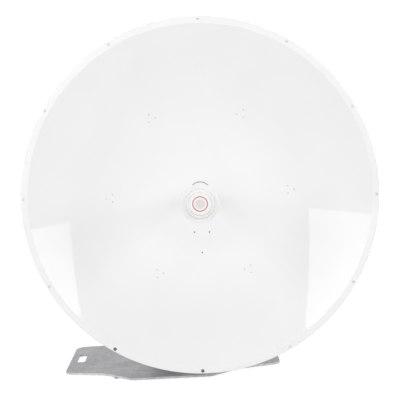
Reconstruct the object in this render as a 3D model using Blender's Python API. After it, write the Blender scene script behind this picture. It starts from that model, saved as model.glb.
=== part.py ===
"""A 1.2 m microwave dish antenna on a pole mount that stands on the ground.

Metres, +Z up. The dish looks along -Y. The origin is on the ground, below the dish's vertex and in
the middle of the object's length: the feed's front and the base plate's back edge are equally far
from it. Left and right are as seen from the front, so left is -X.
"""

from math import atan2, cos, pi, radians, sin, sqrt, tan

import bmesh
import bpy
from mathutils import Matrix, Vector

# Driving dimensions of the dish
DISH_RADIUS = 0.600
APERTURE_RADIUS = 0.578
FOCAL_LENGTH = 0.450
SHEET = 0.003
LIP_DEPTH = 0.028
LIP_ROUND = 0.002
OPENING_RADIUS = 0.039
RIM_HOLES = 12
RIM_HOLE_RADIUS = 0.004
RIM_HOLE_SIDES = 10
RIM_HOLE_CIRCLE = 0.5905
RIM_HOLE_TURN = radians(-2.06)
RIVET_CIRCLE = 0.310

# Driving dimensions of the base; its plan is given from the mast's axis and from the rim's face
FOOT_HEIGHT = 0.008
FOOT_RADIUS = 0.0105
PLATE_THICK = 0.008
PLATE_HALF = 0.380
PLATE_BACK_ROUND = 0.045
TONGUE_HALF = 0.136
TONGUE_SETBACK = 0.041
TONGUE_ROUND = 0.022
SHOULDER_HALF = 0.232
SHOULDER_SETBACK = 0.139
SHOULDER_ROUND = 0.060
FLANK_SETBACK = 0.191
FLANK_ROUND = 0.036
SLOT_OFFSET = 0.341
SLOT_Y = 0.243
SLOT_HALF_LENGTH = 0.072
SLOT_HALF_WIDTH = 0.015
RIM_CLEARANCE = 0.012

# Driving dimensions of the mast
MAST_X = -0.129
MAST_Y = 0.205
MAST_RADIUS = 0.038
MAST_WALL = 0.004
MAST_TOP = 0.900
MAST_CAP_DEPTH = 0.020
MAST_CAP_RISE = 0.010
MAST_CAP_BEVEL = 0.004
FLANGE_RADIUS = 0.100
FLANGE_THICK = 0.010
GUSSET_REACH = 0.092
GUSSET_SHOULDER = 0.050
GUSSET_HEIGHT = 0.095
GUSSET_TOE = 0.012

# Driving dimensions of the feed; places along it are measured along Y from the dish's vertex
REACH = 0.466
CAP_RADIUS = 0.0625
CAP_BEVEL = 0.0025
CAP_EDGE_FRONT = -0.4473
CAP_STEPS = ((0.0465, -0.4505), (0.0453, -0.4580), (0.0370, -0.4600))
CAP_BOSS_RADIUS = 0.0355
LABEL_RADIUS = 0.0285
LABEL_THICK = 0.0006
CONE_FRONT = -0.440
CONE_PROFILE = ((0.052, -0.440), (0.050, -0.434), (0.022, -0.395))
CONE_NECK_RADIUS = 0.019
TUBE_FRONT = -0.385
TUBE_RADIUS = 0.016
TUBE_WALL = 0.002
COLLAR_RADIUS = 0.0375
COLLAR_NOSE_RADIUS = 0.030
COLLAR_NOSE = -0.010
COLLAR_SHOULDER = -0.004
REAR_FLANGE_RADIUS = 0.050
REAR_FLANGE_THICK = 0.010
PORT_NECK = 0.032
PORT_NECK_HALF = (0.016, 0.011)
PORT_HALF = 0.024
PORT_ROUND = 0.004
PORT_THICK = 0.008
COVER_RADIUS = 0.017
COVER_THICK = 0.004

# Driving dimensions of the drum and the ribs behind the dish
DRUM_RADIUS = 0.115
DRUM_WALL = 0.006
DRUM_BORE = 0.0378
DRUM_FLANGE_RADIUS = 0.165
DRUM_FLANGE = 0.008
DRUM_BACK = 0.060
RIB_FLANGE = 0.004
RIB_WEB = 0.005
RIB_HALF_NEAR = 0.012
RIB_HALF_FAR = 0.022
RIB_FULL_WIDTH_AT = 0.667
RIB_OVERHANG = 0.035
RIB_SLOPE = 0.57

# Driving dimensions of the mount; heights of its bolts are measured from the dish's axis
STEEL = 0.006
YOKE_PLATE_THICK = 0.008
YOKE_HALF_WIDTH = 0.078
YOKE_RIGHT_EDGE = -0.056
YOKE_LOW = -0.180
YOKE_HIGH = 0.185
CHEEK_WIDE = 0.180
CHEEK_WAIST = 0.122
CHANNEL_HALF = 0.062
CHANNEL_FRONT = 0.135
CHANNEL_DEPTH = 0.037
CHANNEL_HALF_HEIGHT = 0.170
BOLT_SETBACK = 0.018
CLAMP_RISE = 0.075
SADDLE_HALF_WIDTH = 0.034
SADDLE_HALF_HEIGHT = 0.019
SADDLE_MOUTH = 0.028
ROD_RADIUS = 0.006
ROD_END = 0.160
NUT_RADIUS = 0.0108
NUT_THICK = 0.010
THIN_NUT = 0.008
THREAD_PAST_NUT = 0.007
BOLT_PAST_NUT = 0.006
PIVOT_RADIUS = 0.008
PIVOT_DROP = 0.135
LOCK_RISE = 0.145
LOCK_SLOT_HALF = 0.020
ROD_RISE = 0.115
TRUNNION_FRONT = 0.084
TRUNNION_BACK = 0.104
TRUNNION_HALF_HEIGHT = 0.011

# How far pieces that touch are kept apart, and how finely round shapes are cut
GAP = 0.0003
RINGS = 10
DISH_SIDES = 72
DRUM_SIDES = 48
MAST_SIDES = 40
TUBE_SIDES = 32
COVER_SIDES = 24
BOLT_SIDES = 12
U_BOLT_SIDES = 10
BEND_STEPS = 12

PLATE_BOTTOM = FOOT_HEIGHT
PLATE_TOP = PLATE_BOTTOM + PLATE_THICK
AXIS_Z = PLATE_TOP + RIM_CLEARANCE + DISH_RADIUS
RIM_Y = -APERTURE_RADIUS ** 2 / (4 * FOCAL_LENGTH)
BOLT_Y = CHANNEL_FRONT + BOLT_SETBACK


# Materials


def finish(name, colour, roughness, metallic):
    """A Principled material with one colour."""
    material = bpy.data.materials.new(name)
    material.use_nodes = True
    shader = material.node_tree.nodes["Principled BSDF"]
    shader.inputs["Base Color"].default_value = (*colour, 1.0)
    shader.inputs["Roughness"].default_value = roughness
    shader.inputs["Metallic"].default_value = metallic
    return material


FINISHES = {
    "white_paint": ((0.88, 0.88, 0.89), 0.25, 0.0),
    "galvanised": ((0.40, 0.40, 0.41), 0.50, 0.9),
    "cast_aluminium": ((0.62, 0.63, 0.65), 0.45, 1.0),
    "dark_steel": ((0.05, 0.05, 0.05), 0.60, 0.3),
    "zinc_bolt": ((0.55, 0.55, 0.53), 0.35, 1.0),
    "white_plastic": ((0.85, 0.85, 0.84), 0.40, 0.0),
    "label": ((0.80, 0.30, 0.25), 0.50, 0.0),
    "black_plastic": ((0.03, 0.03, 0.03), 0.45, 0.0),
}


# Helpers that make one closed body each


def add_object(name, bm, finish_name, location=(0, 0, 0), rotation=None):
    """Turn a finished bmesh into a named object with a material of its own."""
    bmesh.ops.recalc_face_normals(bm, faces=bm.faces)
    mesh = bpy.data.meshes.new(name)
    bm.to_mesh(mesh)
    bm.free()
    mesh.shade_smooth()
    mesh.set_sharp_from_angle(angle=radians(35))
    mesh.materials.append(finish(name + "_finish", *FINISHES[finish_name]))
    body = bpy.data.objects.new(name, mesh)
    body.location = location
    if rotation:
        body.rotation_euler = rotation
    bpy.context.scene.collection.objects.link(body)
    return body


def with_borders(face):
    """A face with its edges and corners, so that an extrusion leaves no wall inside."""
    return [face, *face.edges, *face.verts]


def extrude(bm, face, vector):
    """Extrude a face along a vector and give back the face at the far end."""
    made = bmesh.ops.extrude_face_region(bm, geom=with_borders(face))["geom"]
    verts = [item for item in made if isinstance(item, bmesh.types.BMVert)]
    bmesh.ops.translate(bm, verts=verts, vec=vector)
    return next(item for item in made if isinstance(item, bmesh.types.BMFace))


def prism(outline, axis, start, end, bm=None):
    """A flat outline extruded along one axis; the outline's two numbers are the other axes in order."""
    bm = bm or bmesh.new()
    others = [number for number in range(3) if number != axis]
    verts = []
    for point in outline:
        place = [0.0, 0.0, 0.0]
        place[others[0]], place[others[1]] = point
        place[axis] = start
        verts.append(bm.verts.new(place))
    face = bm.faces.new(verts)
    move = [0.0, 0.0, 0.0]
    move[axis] = end - start
    extrude(bm, face, Vector(move))
    return bm


def turned(profile, segments, axis="Y", closed=True):
    """A profile of (radius, height) points spun once round an axis; height runs along the axis."""
    bm = bmesh.new()
    places = [(r, h, 0) if axis == "Y" else (r, 0, h) for r, h in profile]
    verts = [bm.verts.new(place) for place in places]
    edges = [bm.edges.new(pair) for pair in zip(verts, verts[1:])]
    if closed:
        edges.append(bm.edges.new((verts[-1], verts[0])))
    spin_axis = Vector((0, 1, 0)) if axis == "Y" else Vector((0, 0, 1))
    bmesh.ops.spin(bm, geom=verts + edges, cent=(0, 0, 0), axis=spin_axis, angle=2 * pi, steps=segments)
    bmesh.ops.remove_doubles(bm, verts=bm.verts, dist=2e-5)
    return bm


def box_outline(x0, x1, y0, y1):
    """The four corners of a rectangle."""
    return [(x0, y0), (x1, y0), (x1, y1), (x0, y1)]


def ring_points(radius, sides, centre=(0, 0), turn=0.0):
    """Points evenly round a circle."""
    return [(centre[0] + radius * cos(turn + 2 * pi * k / sides),
             centre[1] + radius * sin(turn + 2 * pi * k / sides)) for k in range(sides)]


def slot_points(centre, half_length, half_width, along, steps=6):
    """A slot with round ends; along is 0 when it runs along the first number, 1 along the second."""
    points = []
    for end in (0, 1):
        for k in range(steps + 1):
            angle = -pi / 2 + pi * k / steps + end * pi
            reach = half_length - half_width
            u = (reach if end == 0 else -reach) + half_width * cos(angle)
            v = half_width * sin(angle)
            points.append((centre[0] + u, centre[1] + v) if along == 0 else (centre[0] - v, centre[1] + u))
    return points


def rounded(corners):
    """A closed outline through (x, y, fillet radius, steps) corners, with each corner rounded by an arc."""
    points = []
    for k, (x, y, radius, steps) in enumerate(corners):
        here = Vector((x, y))
        before = (Vector(corners[k - 1][:2]) - here).normalized()
        after = (Vector(corners[(k + 1) % len(corners)][:2]) - here).normalized()
        if radius == 0:
            points.append((x, y))
            continue
        half = before.angle(after) / 2
        centre = here + (before + after).normalized() * radius / sin(half)
        first = here + before * radius / tan(half) - centre
        last = here + after * radius / tan(half) - centre
        turn = atan2(first.x * last.y - first.y * last.x, first.dot(last))
        for step in range(steps + 1):
            arm = Matrix.Rotation(turn * step / steps, 2) @ first
            points.append(tuple(centre + arm))
    return points


def apply_boolean(body, operation, *tools):
    """Join or cut a body with others, whose own objects are then removed."""
    for tool in tools:
        modifier = body.modifiers.new(operation.lower(), "BOOLEAN")
        modifier.operation = operation
        modifier.solver = "EXACT"
        modifier.object = tool
    bpy.context.view_layer.update()
    graph = bpy.context.evaluated_depsgraph_get()
    mesh = bpy.data.meshes.new_from_object(body.evaluated_get(graph))
    body.modifiers.clear()
    old = body.data
    body.data = mesh
    bpy.data.meshes.remove(old)
    mesh.name = body.name
    for tool in tools:
        bpy.data.objects.remove(tool)
    return body


def tool_object(bm):
    """A short-lived object that cuts or joins another one."""
    bmesh.ops.recalc_face_normals(bm, faces=bm.faces)
    mesh = bpy.data.meshes.new("tool")
    bm.to_mesh(mesh)
    bm.free()
    body = bpy.data.objects.new("tool", mesh)
    bpy.context.scene.collection.objects.link(body)
    return body


# The dish


def dish_back(radius):
    """How far along Y the dish's back surface is at a distance from its axis."""
    return SHEET - radius ** 2 / (4 * FOCAL_LENGTH)


def ring_radii():
    """Radii of the rings between the middle opening and the rim."""
    step = (APERTURE_RADIUS - OPENING_RADIUS) / RINGS
    return [OPENING_RADIUS + step * k for k in range(RINGS + 1)]


def make_reflector():
    """The spun paraboloid sheet, open in the middle for the feed."""
    radii = ring_radii()
    radii[-1] -= GAP
    front = [(r, dish_back(r) - SHEET) for r in radii]
    back = [(r, dish_back(r)) for r in radii]
    add_object("reflector_dish", turned(front + back[::-1], DISH_SIDES), "white_paint", (0, 0, AXIS_Z))


def make_rim():
    """The angle rolled round the dish: a flat face with twelve holes and a lip turned back."""
    inner = DISH_RADIUS - SHEET
    profile = [
        (APERTURE_RADIUS, RIM_Y),
        (DISH_RADIUS - LIP_ROUND, RIM_Y),
        (DISH_RADIUS, RIM_Y + LIP_ROUND),
        (DISH_RADIUS, RIM_Y + LIP_DEPTH),
        (inner, RIM_Y + LIP_DEPTH),
        (inner, RIM_Y + SHEET),
        (APERTURE_RADIUS, RIM_Y + SHEET),
    ]
    rim = add_object("rim_ring", turned(profile, DISH_SIDES), "white_paint")
    drills = bmesh.new()
    for k in range(RIM_HOLES):
        angle = 2 * pi * k / RIM_HOLES - pi / 2 + RIM_HOLE_TURN
        place = (RIM_HOLE_CIRCLE * cos(angle), RIM_HOLE_CIRCLE * sin(angle))
        outline = ring_points(RIM_HOLE_RADIUS, RIM_HOLE_SIDES, place)
        prism(outline, 1, RIM_Y - SHEET, RIM_Y + 2 * SHEET, drills)
    apply_boolean(rim, "DIFFERENCE", tool_object(drills))
    rim.location.z = AXIS_Z


def make_drum():
    """The pressed drum behind the vertex, open to its bore, with a wider flange at its back."""
    face = [DRUM_BORE, ring_radii()[1], DRUM_RADIUS]
    inner = DRUM_RADIUS - DRUM_WALL
    flange_front = DRUM_BACK - DRUM_FLANGE
    profile = [(r, dish_back(r) + GAP) for r in face]
    profile += [
        (DRUM_RADIUS, flange_front),
        (DRUM_FLANGE_RADIUS, flange_front),
        (DRUM_FLANGE_RADIUS, DRUM_BACK),
        (DRUM_BORE, DRUM_BACK),
        (DRUM_BORE, flange_front),
        (inner, flange_front),
        (inner, dish_back(inner) + GAP + DRUM_WALL),
        (DRUM_BORE, dish_back(DRUM_BORE) + GAP + DRUM_WALL),
    ]
    add_object("hub_drum", turned(profile, DRUM_SIDES), "galvanised", (0, 0, AXIS_Z))


def make_rib(number):
    """A T-shaped rib: a flange along the dish's back and a web that dies away past the rivets."""
    start = DRUM_RADIUS + GAP
    end = RIVET_CIRCLE + RIB_OVERHANG
    heel = DRUM_BACK - DRUM_FLANGE - GAP
    stations = [start] + [r for r in ring_radii() if start < r < end] + [end]
    bm = bmesh.new()
    loops = []
    for r in stations:
        widening = min(1.0, (r - start) / (end - start) / RIB_FULL_WIDTH_AT)
        half = RIB_HALF_NEAR + (RIB_HALF_FAR - RIB_HALF_NEAR) * widening
        low = dish_back(r) + GAP
        high = low + RIB_FLANGE
        top = min(heel, heel - RIB_SLOPE * (r - DRUM_FLANGE_RADIUS))
        web = RIB_WEB / 2
        section = [(-half, low), (half, low), (half, high), (web, high),
                   (web, top), (-web, top), (-web, high), (-half, high)]
        loops.append([bm.verts.new((r, y, s)) for s, y in section])
    for loop in loops:
        for first, second in zip(loop, loop[1:] + loop[:1]):
            bm.edges.new((first, second))
    for loop, after in zip(loops, loops[1:]):
        edges = [bm.edges.get(pair) for ring in (loop, after) for pair in zip(ring, ring[1:] + ring[:1])]
        bmesh.ops.bridge_loops(bm, edges=edges)
    bm.faces.new(loops[0])
    bm.faces.new(loops[-1])
    turn = Matrix.Rotation(-pi / 3 * number, 3, "Y")
    bmesh.ops.rotate(bm, verts=bm.verts, cent=(0, 0, 0), matrix=turn)
    add_object(f"back_rib_{number + 1}", bm, "galvanised", (0, 0, AXIS_Z))


# The feed


def make_feed():
    """Collar, waveguide tube, plastic cone and the stepped cap with its plain label."""
    place = (0, 0, AXIS_Z)
    cap_back = CONE_FRONT - GAP
    cap_front = -REACH + LABEL_THICK + GAP

    tube_clear = TUBE_RADIUS + GAP
    collar = [(tube_clear, COLLAR_NOSE), (COLLAR_NOSE_RADIUS, COLLAR_NOSE), (COLLAR_RADIUS, COLLAR_SHOULDER),
              (COLLAR_RADIUS, DRUM_BACK), (tube_clear, DRUM_BACK)]
    add_object("feed_collar", turned(collar, DRUM_SIDES), "cast_aluminium", place)

    inside = TUBE_RADIUS - TUBE_WALL
    tube = [(inside, TUBE_FRONT), (TUBE_RADIUS, TUBE_FRONT), (TUBE_RADIUS, DRUM_BACK), (inside, DRUM_BACK)]
    add_object("feed_tube", turned(tube, TUBE_SIDES), "cast_aluminium", place)

    neck = TUBE_FRONT - GAP
    cone = [(0, CONE_FRONT), *CONE_PROFILE, (CONE_NECK_RADIUS, neck), (0, neck)]
    add_object("feed_cone", turned(cone[::-1], TUBE_SIDES, closed=False), "white_plastic", place)

    cap = [(0, cap_back), (CAP_RADIUS - CAP_BEVEL, cap_back), (CAP_RADIUS, cap_back - CAP_BEVEL),
           (CAP_RADIUS, CAP_EDGE_FRONT), *CAP_STEPS, (CAP_BOSS_RADIUS, cap_front), (0, cap_front)]
    add_object("subreflector_cap", turned(cap, DRUM_SIDES, closed=False), "white_plastic", place)

    label = [(0, cap_front - GAP), (LABEL_RADIUS, cap_front - GAP), (LABEL_RADIUS, -REACH), (0, -REACH)]
    add_object("cap_label", turned(label, MAST_SIDES, closed=False), "label", place)

    make_feed_rear(place)


def make_feed_rear(place):
    """The round flange behind the drum, the square waveguide port on it and the port's dust cover."""
    front = DRUM_BACK + GAP
    back = front + REAR_FLANGE_THICK
    flange = [(0, front), (REAR_FLANGE_RADIUS, front), (REAR_FLANGE_RADIUS, back), (0, back)]
    add_object("feed_rear_flange", turned(flange, MAST_SIDES, closed=False), "cast_aluminium", place)

    neck_start = back + GAP
    port_start = neck_start + PORT_NECK
    port_back = port_start + PORT_THICK
    wide, tall = PORT_NECK_HALF
    neck = prism(box_outline(-wide, wide, -tall, tall), 1, neck_start, port_start + PORT_THICK / 2)
    port = add_object("waveguide_port", neck, "cast_aluminium")
    square = [(x, z, PORT_ROUND, 3) for x, z in box_outline(-PORT_HALF, PORT_HALF, -PORT_HALF, PORT_HALF)]
    apply_boolean(port, "UNION", tool_object(prism(rounded(square), 1, port_start, port_back)))
    port.location = place
    cover = prism(ring_points(COVER_RADIUS, COVER_SIDES), 1, port_back + GAP, port_back + GAP + COVER_THICK)
    add_object("port_cover", cover, "black_plastic", place)


# The base and the mast


def make_base():
    """The plate on the ground with its front tongue and two hand slots, and the feet below it."""
    half = [
        (TONGUE_HALF, RIM_Y + TONGUE_SETBACK, TONGUE_ROUND, 4),
        (SHOULDER_HALF, RIM_Y + SHOULDER_SETBACK, SHOULDER_ROUND, 4),
        (PLATE_HALF, RIM_Y + FLANK_SETBACK, FLANK_ROUND, 4),
        (PLATE_HALF, REACH, PLATE_BACK_ROUND, 6),
    ]
    corners = [(MAST_X + x, y, r, n) for x, y, r, n in half]
    corners += [(MAST_X - x, y, r, n) for x, y, r, n in half[::-1]]
    plate = add_object("base_plate", prism(rounded(corners), 2, PLATE_BOTTOM, PLATE_TOP), "galvanised")
    slots = []
    for side in (-1, 1):
        outline = slot_points((MAST_X + side * SLOT_OFFSET, SLOT_Y), SLOT_HALF_LENGTH, SLOT_HALF_WIDTH, 1)
        slots.append(tool_object(prism(outline, 2, 0, PLATE_TOP + PLATE_THICK)))
    apply_boolean(plate, "DIFFERENCE", *slots)

    feet = {
        "foot_front_left": (MAST_X - 0.193, RIM_Y + 0.131),
        "foot_front_right": (MAST_X + 0.300, RIM_Y + 0.262),
        "foot_rear_left": (MAST_X - 0.320, REACH - 0.060),
        "foot_rear_right": (MAST_X + 0.320, REACH - 0.060),
    }
    for name, centre in feet.items():
        add_object(name, prism(ring_points(FOOT_RADIUS, 6, centre), 2, 0, FOOT_HEIGHT - GAP), "dark_steel")


def make_mast():
    """Round foot flange, four gussets, the tube and its cap."""
    place = (MAST_X, MAST_Y, 0)
    low = PLATE_TOP + GAP
    high = low + FLANGE_THICK
    flange = prism(ring_points(FLANGE_RADIUS, DRUM_SIDES), 2, low, high)
    add_object("mast_foot_flange", flange, "galvanised", place)
    start = high + GAP
    inside = MAST_RADIUS - MAST_WALL
    tube = [(inside, start), (MAST_RADIUS, start), (MAST_RADIUS, MAST_TOP), (inside, MAST_TOP)]
    add_object("mast_pole", turned(tube, MAST_SIDES, "Z"), "galvanised", place)
    plug = inside - GAP
    brim = MAST_RADIUS + 0.001
    seat = MAST_TOP + GAP
    crown = MAST_TOP + MAST_CAP_RISE
    cap = [(0, MAST_TOP - MAST_CAP_DEPTH), (plug, MAST_TOP - MAST_CAP_DEPTH), (plug, seat), (brim, seat),
           (brim, crown - MAST_CAP_BEVEL), (brim - MAST_CAP_BEVEL - 0.001, crown), (0, crown)]
    add_object("mast_cap", turned(cap, MAST_SIDES, "Z", closed=False), "black_plastic", place)
    inner = MAST_RADIUS + GAP
    outline = [(inner, start), (GUSSET_REACH, start), (GUSSET_REACH, start + GUSSET_TOE),
               (GUSSET_SHOULDER, start + GUSSET_HEIGHT), (inner, start + GUSSET_HEIGHT)]
    for name, angle in (("right", 0), ("rear", pi / 2), ("left", pi), ("front", -pi / 2)):
        web = prism(outline, 1, -STEEL / 2, STEEL / 2)
        add_object("mast_gusset_" + name, web, "galvanised", place, (0, 0, angle))


# The mount between mast and dish


def hex_rod(axis, radius, start, end, nuts, place):
    """A round rod along X or Y with hexagonal heads or nuts at the given (start, end) stretches."""
    rod = tool_object(prism(ring_points(radius, BOLT_SIDES), axis, start, end))
    tools = [tool_object(prism(ring_points(size, 6), axis, a, b)) for a, b, size in nuts]
    apply_boolean(rod, "UNION", *tools)
    rod.location = place
    return rod


def name_object(body, name, finish_name):
    """Give a joined body its name, finish and shading."""
    body.name = name
    body.data.name = name
    body.data.materials.clear()
    body.data.materials.append(finish(name + "_finish", *FINISHES[finish_name]))
    body.data.shade_smooth()
    body.data.set_sharp_from_angle(angle=radians(35))


def bolt_hole(axis, radius, centre, start, end):
    """A short-lived round drill, a little wider than the bolt that goes through it."""
    return prism(ring_points(radius + GAP, BOLT_SIDES, centre), axis, start, end)


def make_yoke():
    """The plate bolted to the drum and the two cheeks that carry the dish's tilt."""
    start = DRUM_BACK + GAP
    back = start + YOKE_PLATE_THICK
    outline = box_outline(MAST_X - YOKE_HALF_WIDTH, YOKE_RIGHT_EDGE, AXIS_Z + YOKE_LOW, AXIS_Z + YOKE_HIGH)
    add_object("yoke_plate", prism(outline, 1, start, back), "galvanised")
    near = back + GAP
    corners = [
        (near, -0.178, 0, 0), (0.150, -0.178, 0.025, 4), (CHEEK_WIDE, -0.158, 0.015, 3),
        (CHEEK_WIDE, -0.095, 0.012, 3), (CHEEK_WAIST, -0.055, 0.020, 4), (CHEEK_WAIST, 0.065, 0.020, 4),
        (CHEEK_WIDE, 0.100, 0.012, 3), (CHEEK_WIDE, 0.168, 0.022, 4), (near, 0.183, 0, 0),
    ]
    inner = CHANNEL_HALF + GAP
    outer = inner + STEEL
    for name, x0, x1 in (("left", MAST_X - outer, MAST_X - inner), ("right", MAST_X + inner, MAST_X + outer)):
        cheek = add_object("yoke_cheek_" + name, prism(rounded(corners), 0, x0, x1), "galvanised")
        drill = (x0 - STEEL, x1 + STEEL)
        pivot = bolt_hole(0, PIVOT_RADIUS, (BOLT_Y, -PIVOT_DROP), *drill)
        slot = prism(slot_points((BOLT_Y, LOCK_RISE), LOCK_SLOT_HALF, ROD_RADIUS + GAP, 0), 0, *drill)
        apply_boolean(cheek, "DIFFERENCE", tool_object(pivot), tool_object(slot))
        cheek.location.z = AXIS_Z


def make_pole_clamp():
    """The channel that the cheeks swing on, its two saddles and the U-bolts round the mast."""
    web_back = CHANNEL_FRONT + STEEL
    inner = CHANNEL_HALF - STEEL
    back = CHANNEL_FRONT + CHANNEL_DEPTH
    section = [(-CHANNEL_HALF, CHANNEL_FRONT), (CHANNEL_HALF, CHANNEL_FRONT), (CHANNEL_HALF, back), (inner, back),
               (inner, web_back), (-inner, web_back), (-inner, back), (-CHANNEL_HALF, back)]
    channel = add_object("pole_channel", prism(section, 2, -CHANNEL_HALF_HEIGHT, CHANNEL_HALF_HEIGHT), "galvanised")
    leg = MAST_RADIUS + GAP + ROD_RADIUS
    across = (-2 * CHANNEL_HALF, 2 * CHANNEL_HALF)
    through = (CHANNEL_FRONT - STEEL, web_back + STEEL)
    cutters = [
        bolt_hole(0, PIVOT_RADIUS, (BOLT_Y, -PIVOT_DROP), *across),
        bolt_hole(0, ROD_RADIUS, (BOLT_Y, LOCK_RISE), *across),
        bolt_hole(1, ROD_RADIUS, (0, ROD_RISE), *through),
    ]
    for x in (-leg, leg):
        for z in (-CLAMP_RISE, CLAMP_RISE):
            cutters.append(bolt_hole(1, ROD_RADIUS, (x, z), *through))
    apply_boolean(channel, "DIFFERENCE", *[tool_object(cutter) for cutter in cutters])
    channel.location = (MAST_X, 0, AXIS_Z)

    for name, rise in (("upper", CLAMP_RISE), ("lower", -CLAMP_RISE)):
        make_saddle(name + "_saddle", web_back + GAP, rise)
        make_u_bolt(name + "_u_bolt", leg, rise)


def make_saddle(name, front, rise):
    """A block behind the channel's web, hollowed to the mast."""
    half = SADDLE_HALF_WIDTH
    hollow = MAST_RADIUS + GAP
    reach = atan2(SADDLE_MOUTH, sqrt(hollow ** 2 - SADDLE_MOUTH ** 2))
    steps = 10
    arc = []
    for k in range(steps + 1):
        angle = reach - 2 * reach * k / steps
        arc.append((hollow * sin(angle), MAST_Y - hollow * cos(angle) / cos(reach / steps)))
    outline = [(-half, front), (half, front), (half, arc[0][1])] + arc + [(-half, arc[-1][1])]
    block = prism(outline, 2, rise - SADDLE_HALF_HEIGHT, rise + SADDLE_HALF_HEIGHT)
    add_object(name, block, "cast_aluminium", (MAST_X, 0, AXIS_Z))


def make_u_bolt(name, leg, rise):
    """A rod bent round the mast, with a nut on each leg in front of the channel's web."""
    bm = bmesh.new()
    nut_back = CHANNEL_FRONT - GAP
    tip = nut_back - NUT_THICK - THREAD_PAST_NUT
    turn = Matrix.Rotation(pi / 2, 4, "X")
    start = Matrix.Translation((-leg, tip, 0)) @ turn
    circle = bmesh.ops.create_circle(bm, cap_ends=True, radius=ROD_RADIUS, segments=U_BOLT_SIDES, matrix=start)
    end = extrude(bm, circle["verts"][0].link_faces[0], Vector((0, MAST_Y - tip, 0)))
    centre = (0, MAST_Y, 0)
    bend = bmesh.ops.spin(bm, geom=with_borders(end), cent=centre, axis=(0, 0, 1), angle=-pi, steps=BEND_STEPS)
    end = next(item for item in bend["geom_last"] if isinstance(item, bmesh.types.BMFace))
    extrude(bm, end, Vector((0, tip - MAST_Y, 0)))
    rod = tool_object(bm)
    nuts = []
    for x in (-leg, leg):
        nut = prism(ring_points(NUT_RADIUS, 6, (x, 0)), 1, nut_back - NUT_THICK, nut_back)
        nuts.append(tool_object(nut))
    apply_boolean(rod, "UNION", *nuts)
    rod.location = (MAST_X, 0, AXIS_Z + rise)
    name_object(rod, name, "zinc_bolt")


def make_tilt_hardware():
    """The pivot bolt, the lock bolt in the cheeks' slots, and the rod that sets the tilt."""
    face = CHANNEL_HALF + GAP + STEEL + GAP
    for name, radius, rise in (("elevation_pivot_bolt", PIVOT_RADIUS, -PIVOT_DROP),
                               ("elevation_lock_bolt", ROD_RADIUS, LOCK_RISE)):
        size = radius * 1.75
        thick = radius * 1.25
        heads = [(-face - thick, -face, size), (face, face + thick, size)]
        end = face + thick + BOLT_PAST_NUT
        bolt = hex_rod(0, radius, -face - thick / 2, end, heads, (MAST_X, BOLT_Y, AXIS_Z + rise))
        name_object(bolt, name, "zinc_bolt")

    high = TRUNNION_HALF_HEIGHT
    block = prism(box_outline(-CHANNEL_HALF, CHANNEL_HALF, -high, high), 1, TRUNNION_FRONT, TRUNNION_BACK)
    trunnion = add_object("rod_trunnion", block, "galvanised")
    hole = bolt_hole(1, ROD_RADIUS, (0, 0), TRUNNION_FRONT - STEEL, TRUNNION_BACK + STEEL)
    apply_boolean(trunnion, "DIFFERENCE", tool_object(hole))
    trunnion.location = (MAST_X, 0, AXIS_Z + ROD_RISE)

    web_back = CHANNEL_FRONT + STEEL
    nuts = [
        (TRUNNION_FRONT - GAP - THIN_NUT, TRUNNION_FRONT - GAP, NUT_RADIUS),
        (TRUNNION_BACK + GAP, TRUNNION_BACK + GAP + NUT_THICK, NUT_RADIUS),
        (CHANNEL_FRONT - GAP - NUT_THICK, CHANNEL_FRONT - GAP, NUT_RADIUS),
        (web_back + GAP, web_back + GAP + NUT_THICK, NUT_RADIUS),
    ]
    start = TRUNNION_FRONT - THIN_NUT / 2
    rod = hex_rod(1, ROD_RADIUS, start, ROD_END, nuts, (MAST_X, 0, AXIS_Z + ROD_RISE))
    name_object(rod, "elevation_rod", "zinc_bolt")


def main():
    """Build the antenna from the ground up."""
    for old in list(bpy.context.scene.objects):
        bpy.data.objects.remove(old)
    make_base()
    make_mast()
    make_pole_clamp()
    make_yoke()
    make_tilt_hardware()
    make_drum()
    for number in range(6):
        make_rib(number)
    make_reflector()
    make_rim()
    make_feed()


main()
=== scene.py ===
# %% [markdown]
# # Dressing a microwave dish antenna
# The frame that is loaded here holds the antenna as plain, exact solids: the right sizes, the right
# places and nothing else. This lesson puts the looks on it. Each cell makes one piece or one finish, and
# the cell before it says what the real thing is, how it could be made in Blender and why this way was
# taken. Everything is in metres, with +Z up; the dish looks along -Y, so +X is to the right.

# %% Load the frame
from math import atan2, cos, pi, radians, sin, sqrt, tan

import bmesh
import bpy
from mathutils import Matrix, Quaternion, Vector
from mathutils.geometry import tessellate_polygon


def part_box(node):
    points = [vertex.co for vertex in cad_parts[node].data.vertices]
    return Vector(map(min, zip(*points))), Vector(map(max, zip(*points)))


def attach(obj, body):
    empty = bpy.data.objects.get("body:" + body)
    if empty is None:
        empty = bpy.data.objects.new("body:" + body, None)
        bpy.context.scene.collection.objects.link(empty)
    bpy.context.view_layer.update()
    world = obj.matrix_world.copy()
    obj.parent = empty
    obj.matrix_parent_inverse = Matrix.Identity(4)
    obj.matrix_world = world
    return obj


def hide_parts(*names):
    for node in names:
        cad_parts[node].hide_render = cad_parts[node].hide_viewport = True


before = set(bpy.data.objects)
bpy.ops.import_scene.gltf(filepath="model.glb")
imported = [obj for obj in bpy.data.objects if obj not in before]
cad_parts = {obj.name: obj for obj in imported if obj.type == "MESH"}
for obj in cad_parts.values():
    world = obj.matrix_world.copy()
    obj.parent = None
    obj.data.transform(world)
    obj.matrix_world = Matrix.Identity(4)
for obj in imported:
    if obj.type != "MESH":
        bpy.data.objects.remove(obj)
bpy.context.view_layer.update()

print("nodes in the frame:", len(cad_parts))

# %% [markdown]
# ## Where things are
# A size that the frame already holds is never typed again. The box of the rolled rim gives the dish's
# axis, radius and face, and the boxes of the plate and the mast give the rest. Only what a box can't
# tell, such as where the bowl ends and the flat rim begins, is a number here. Pieces that touch keep a
# hair's breadth of space between them.

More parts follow.
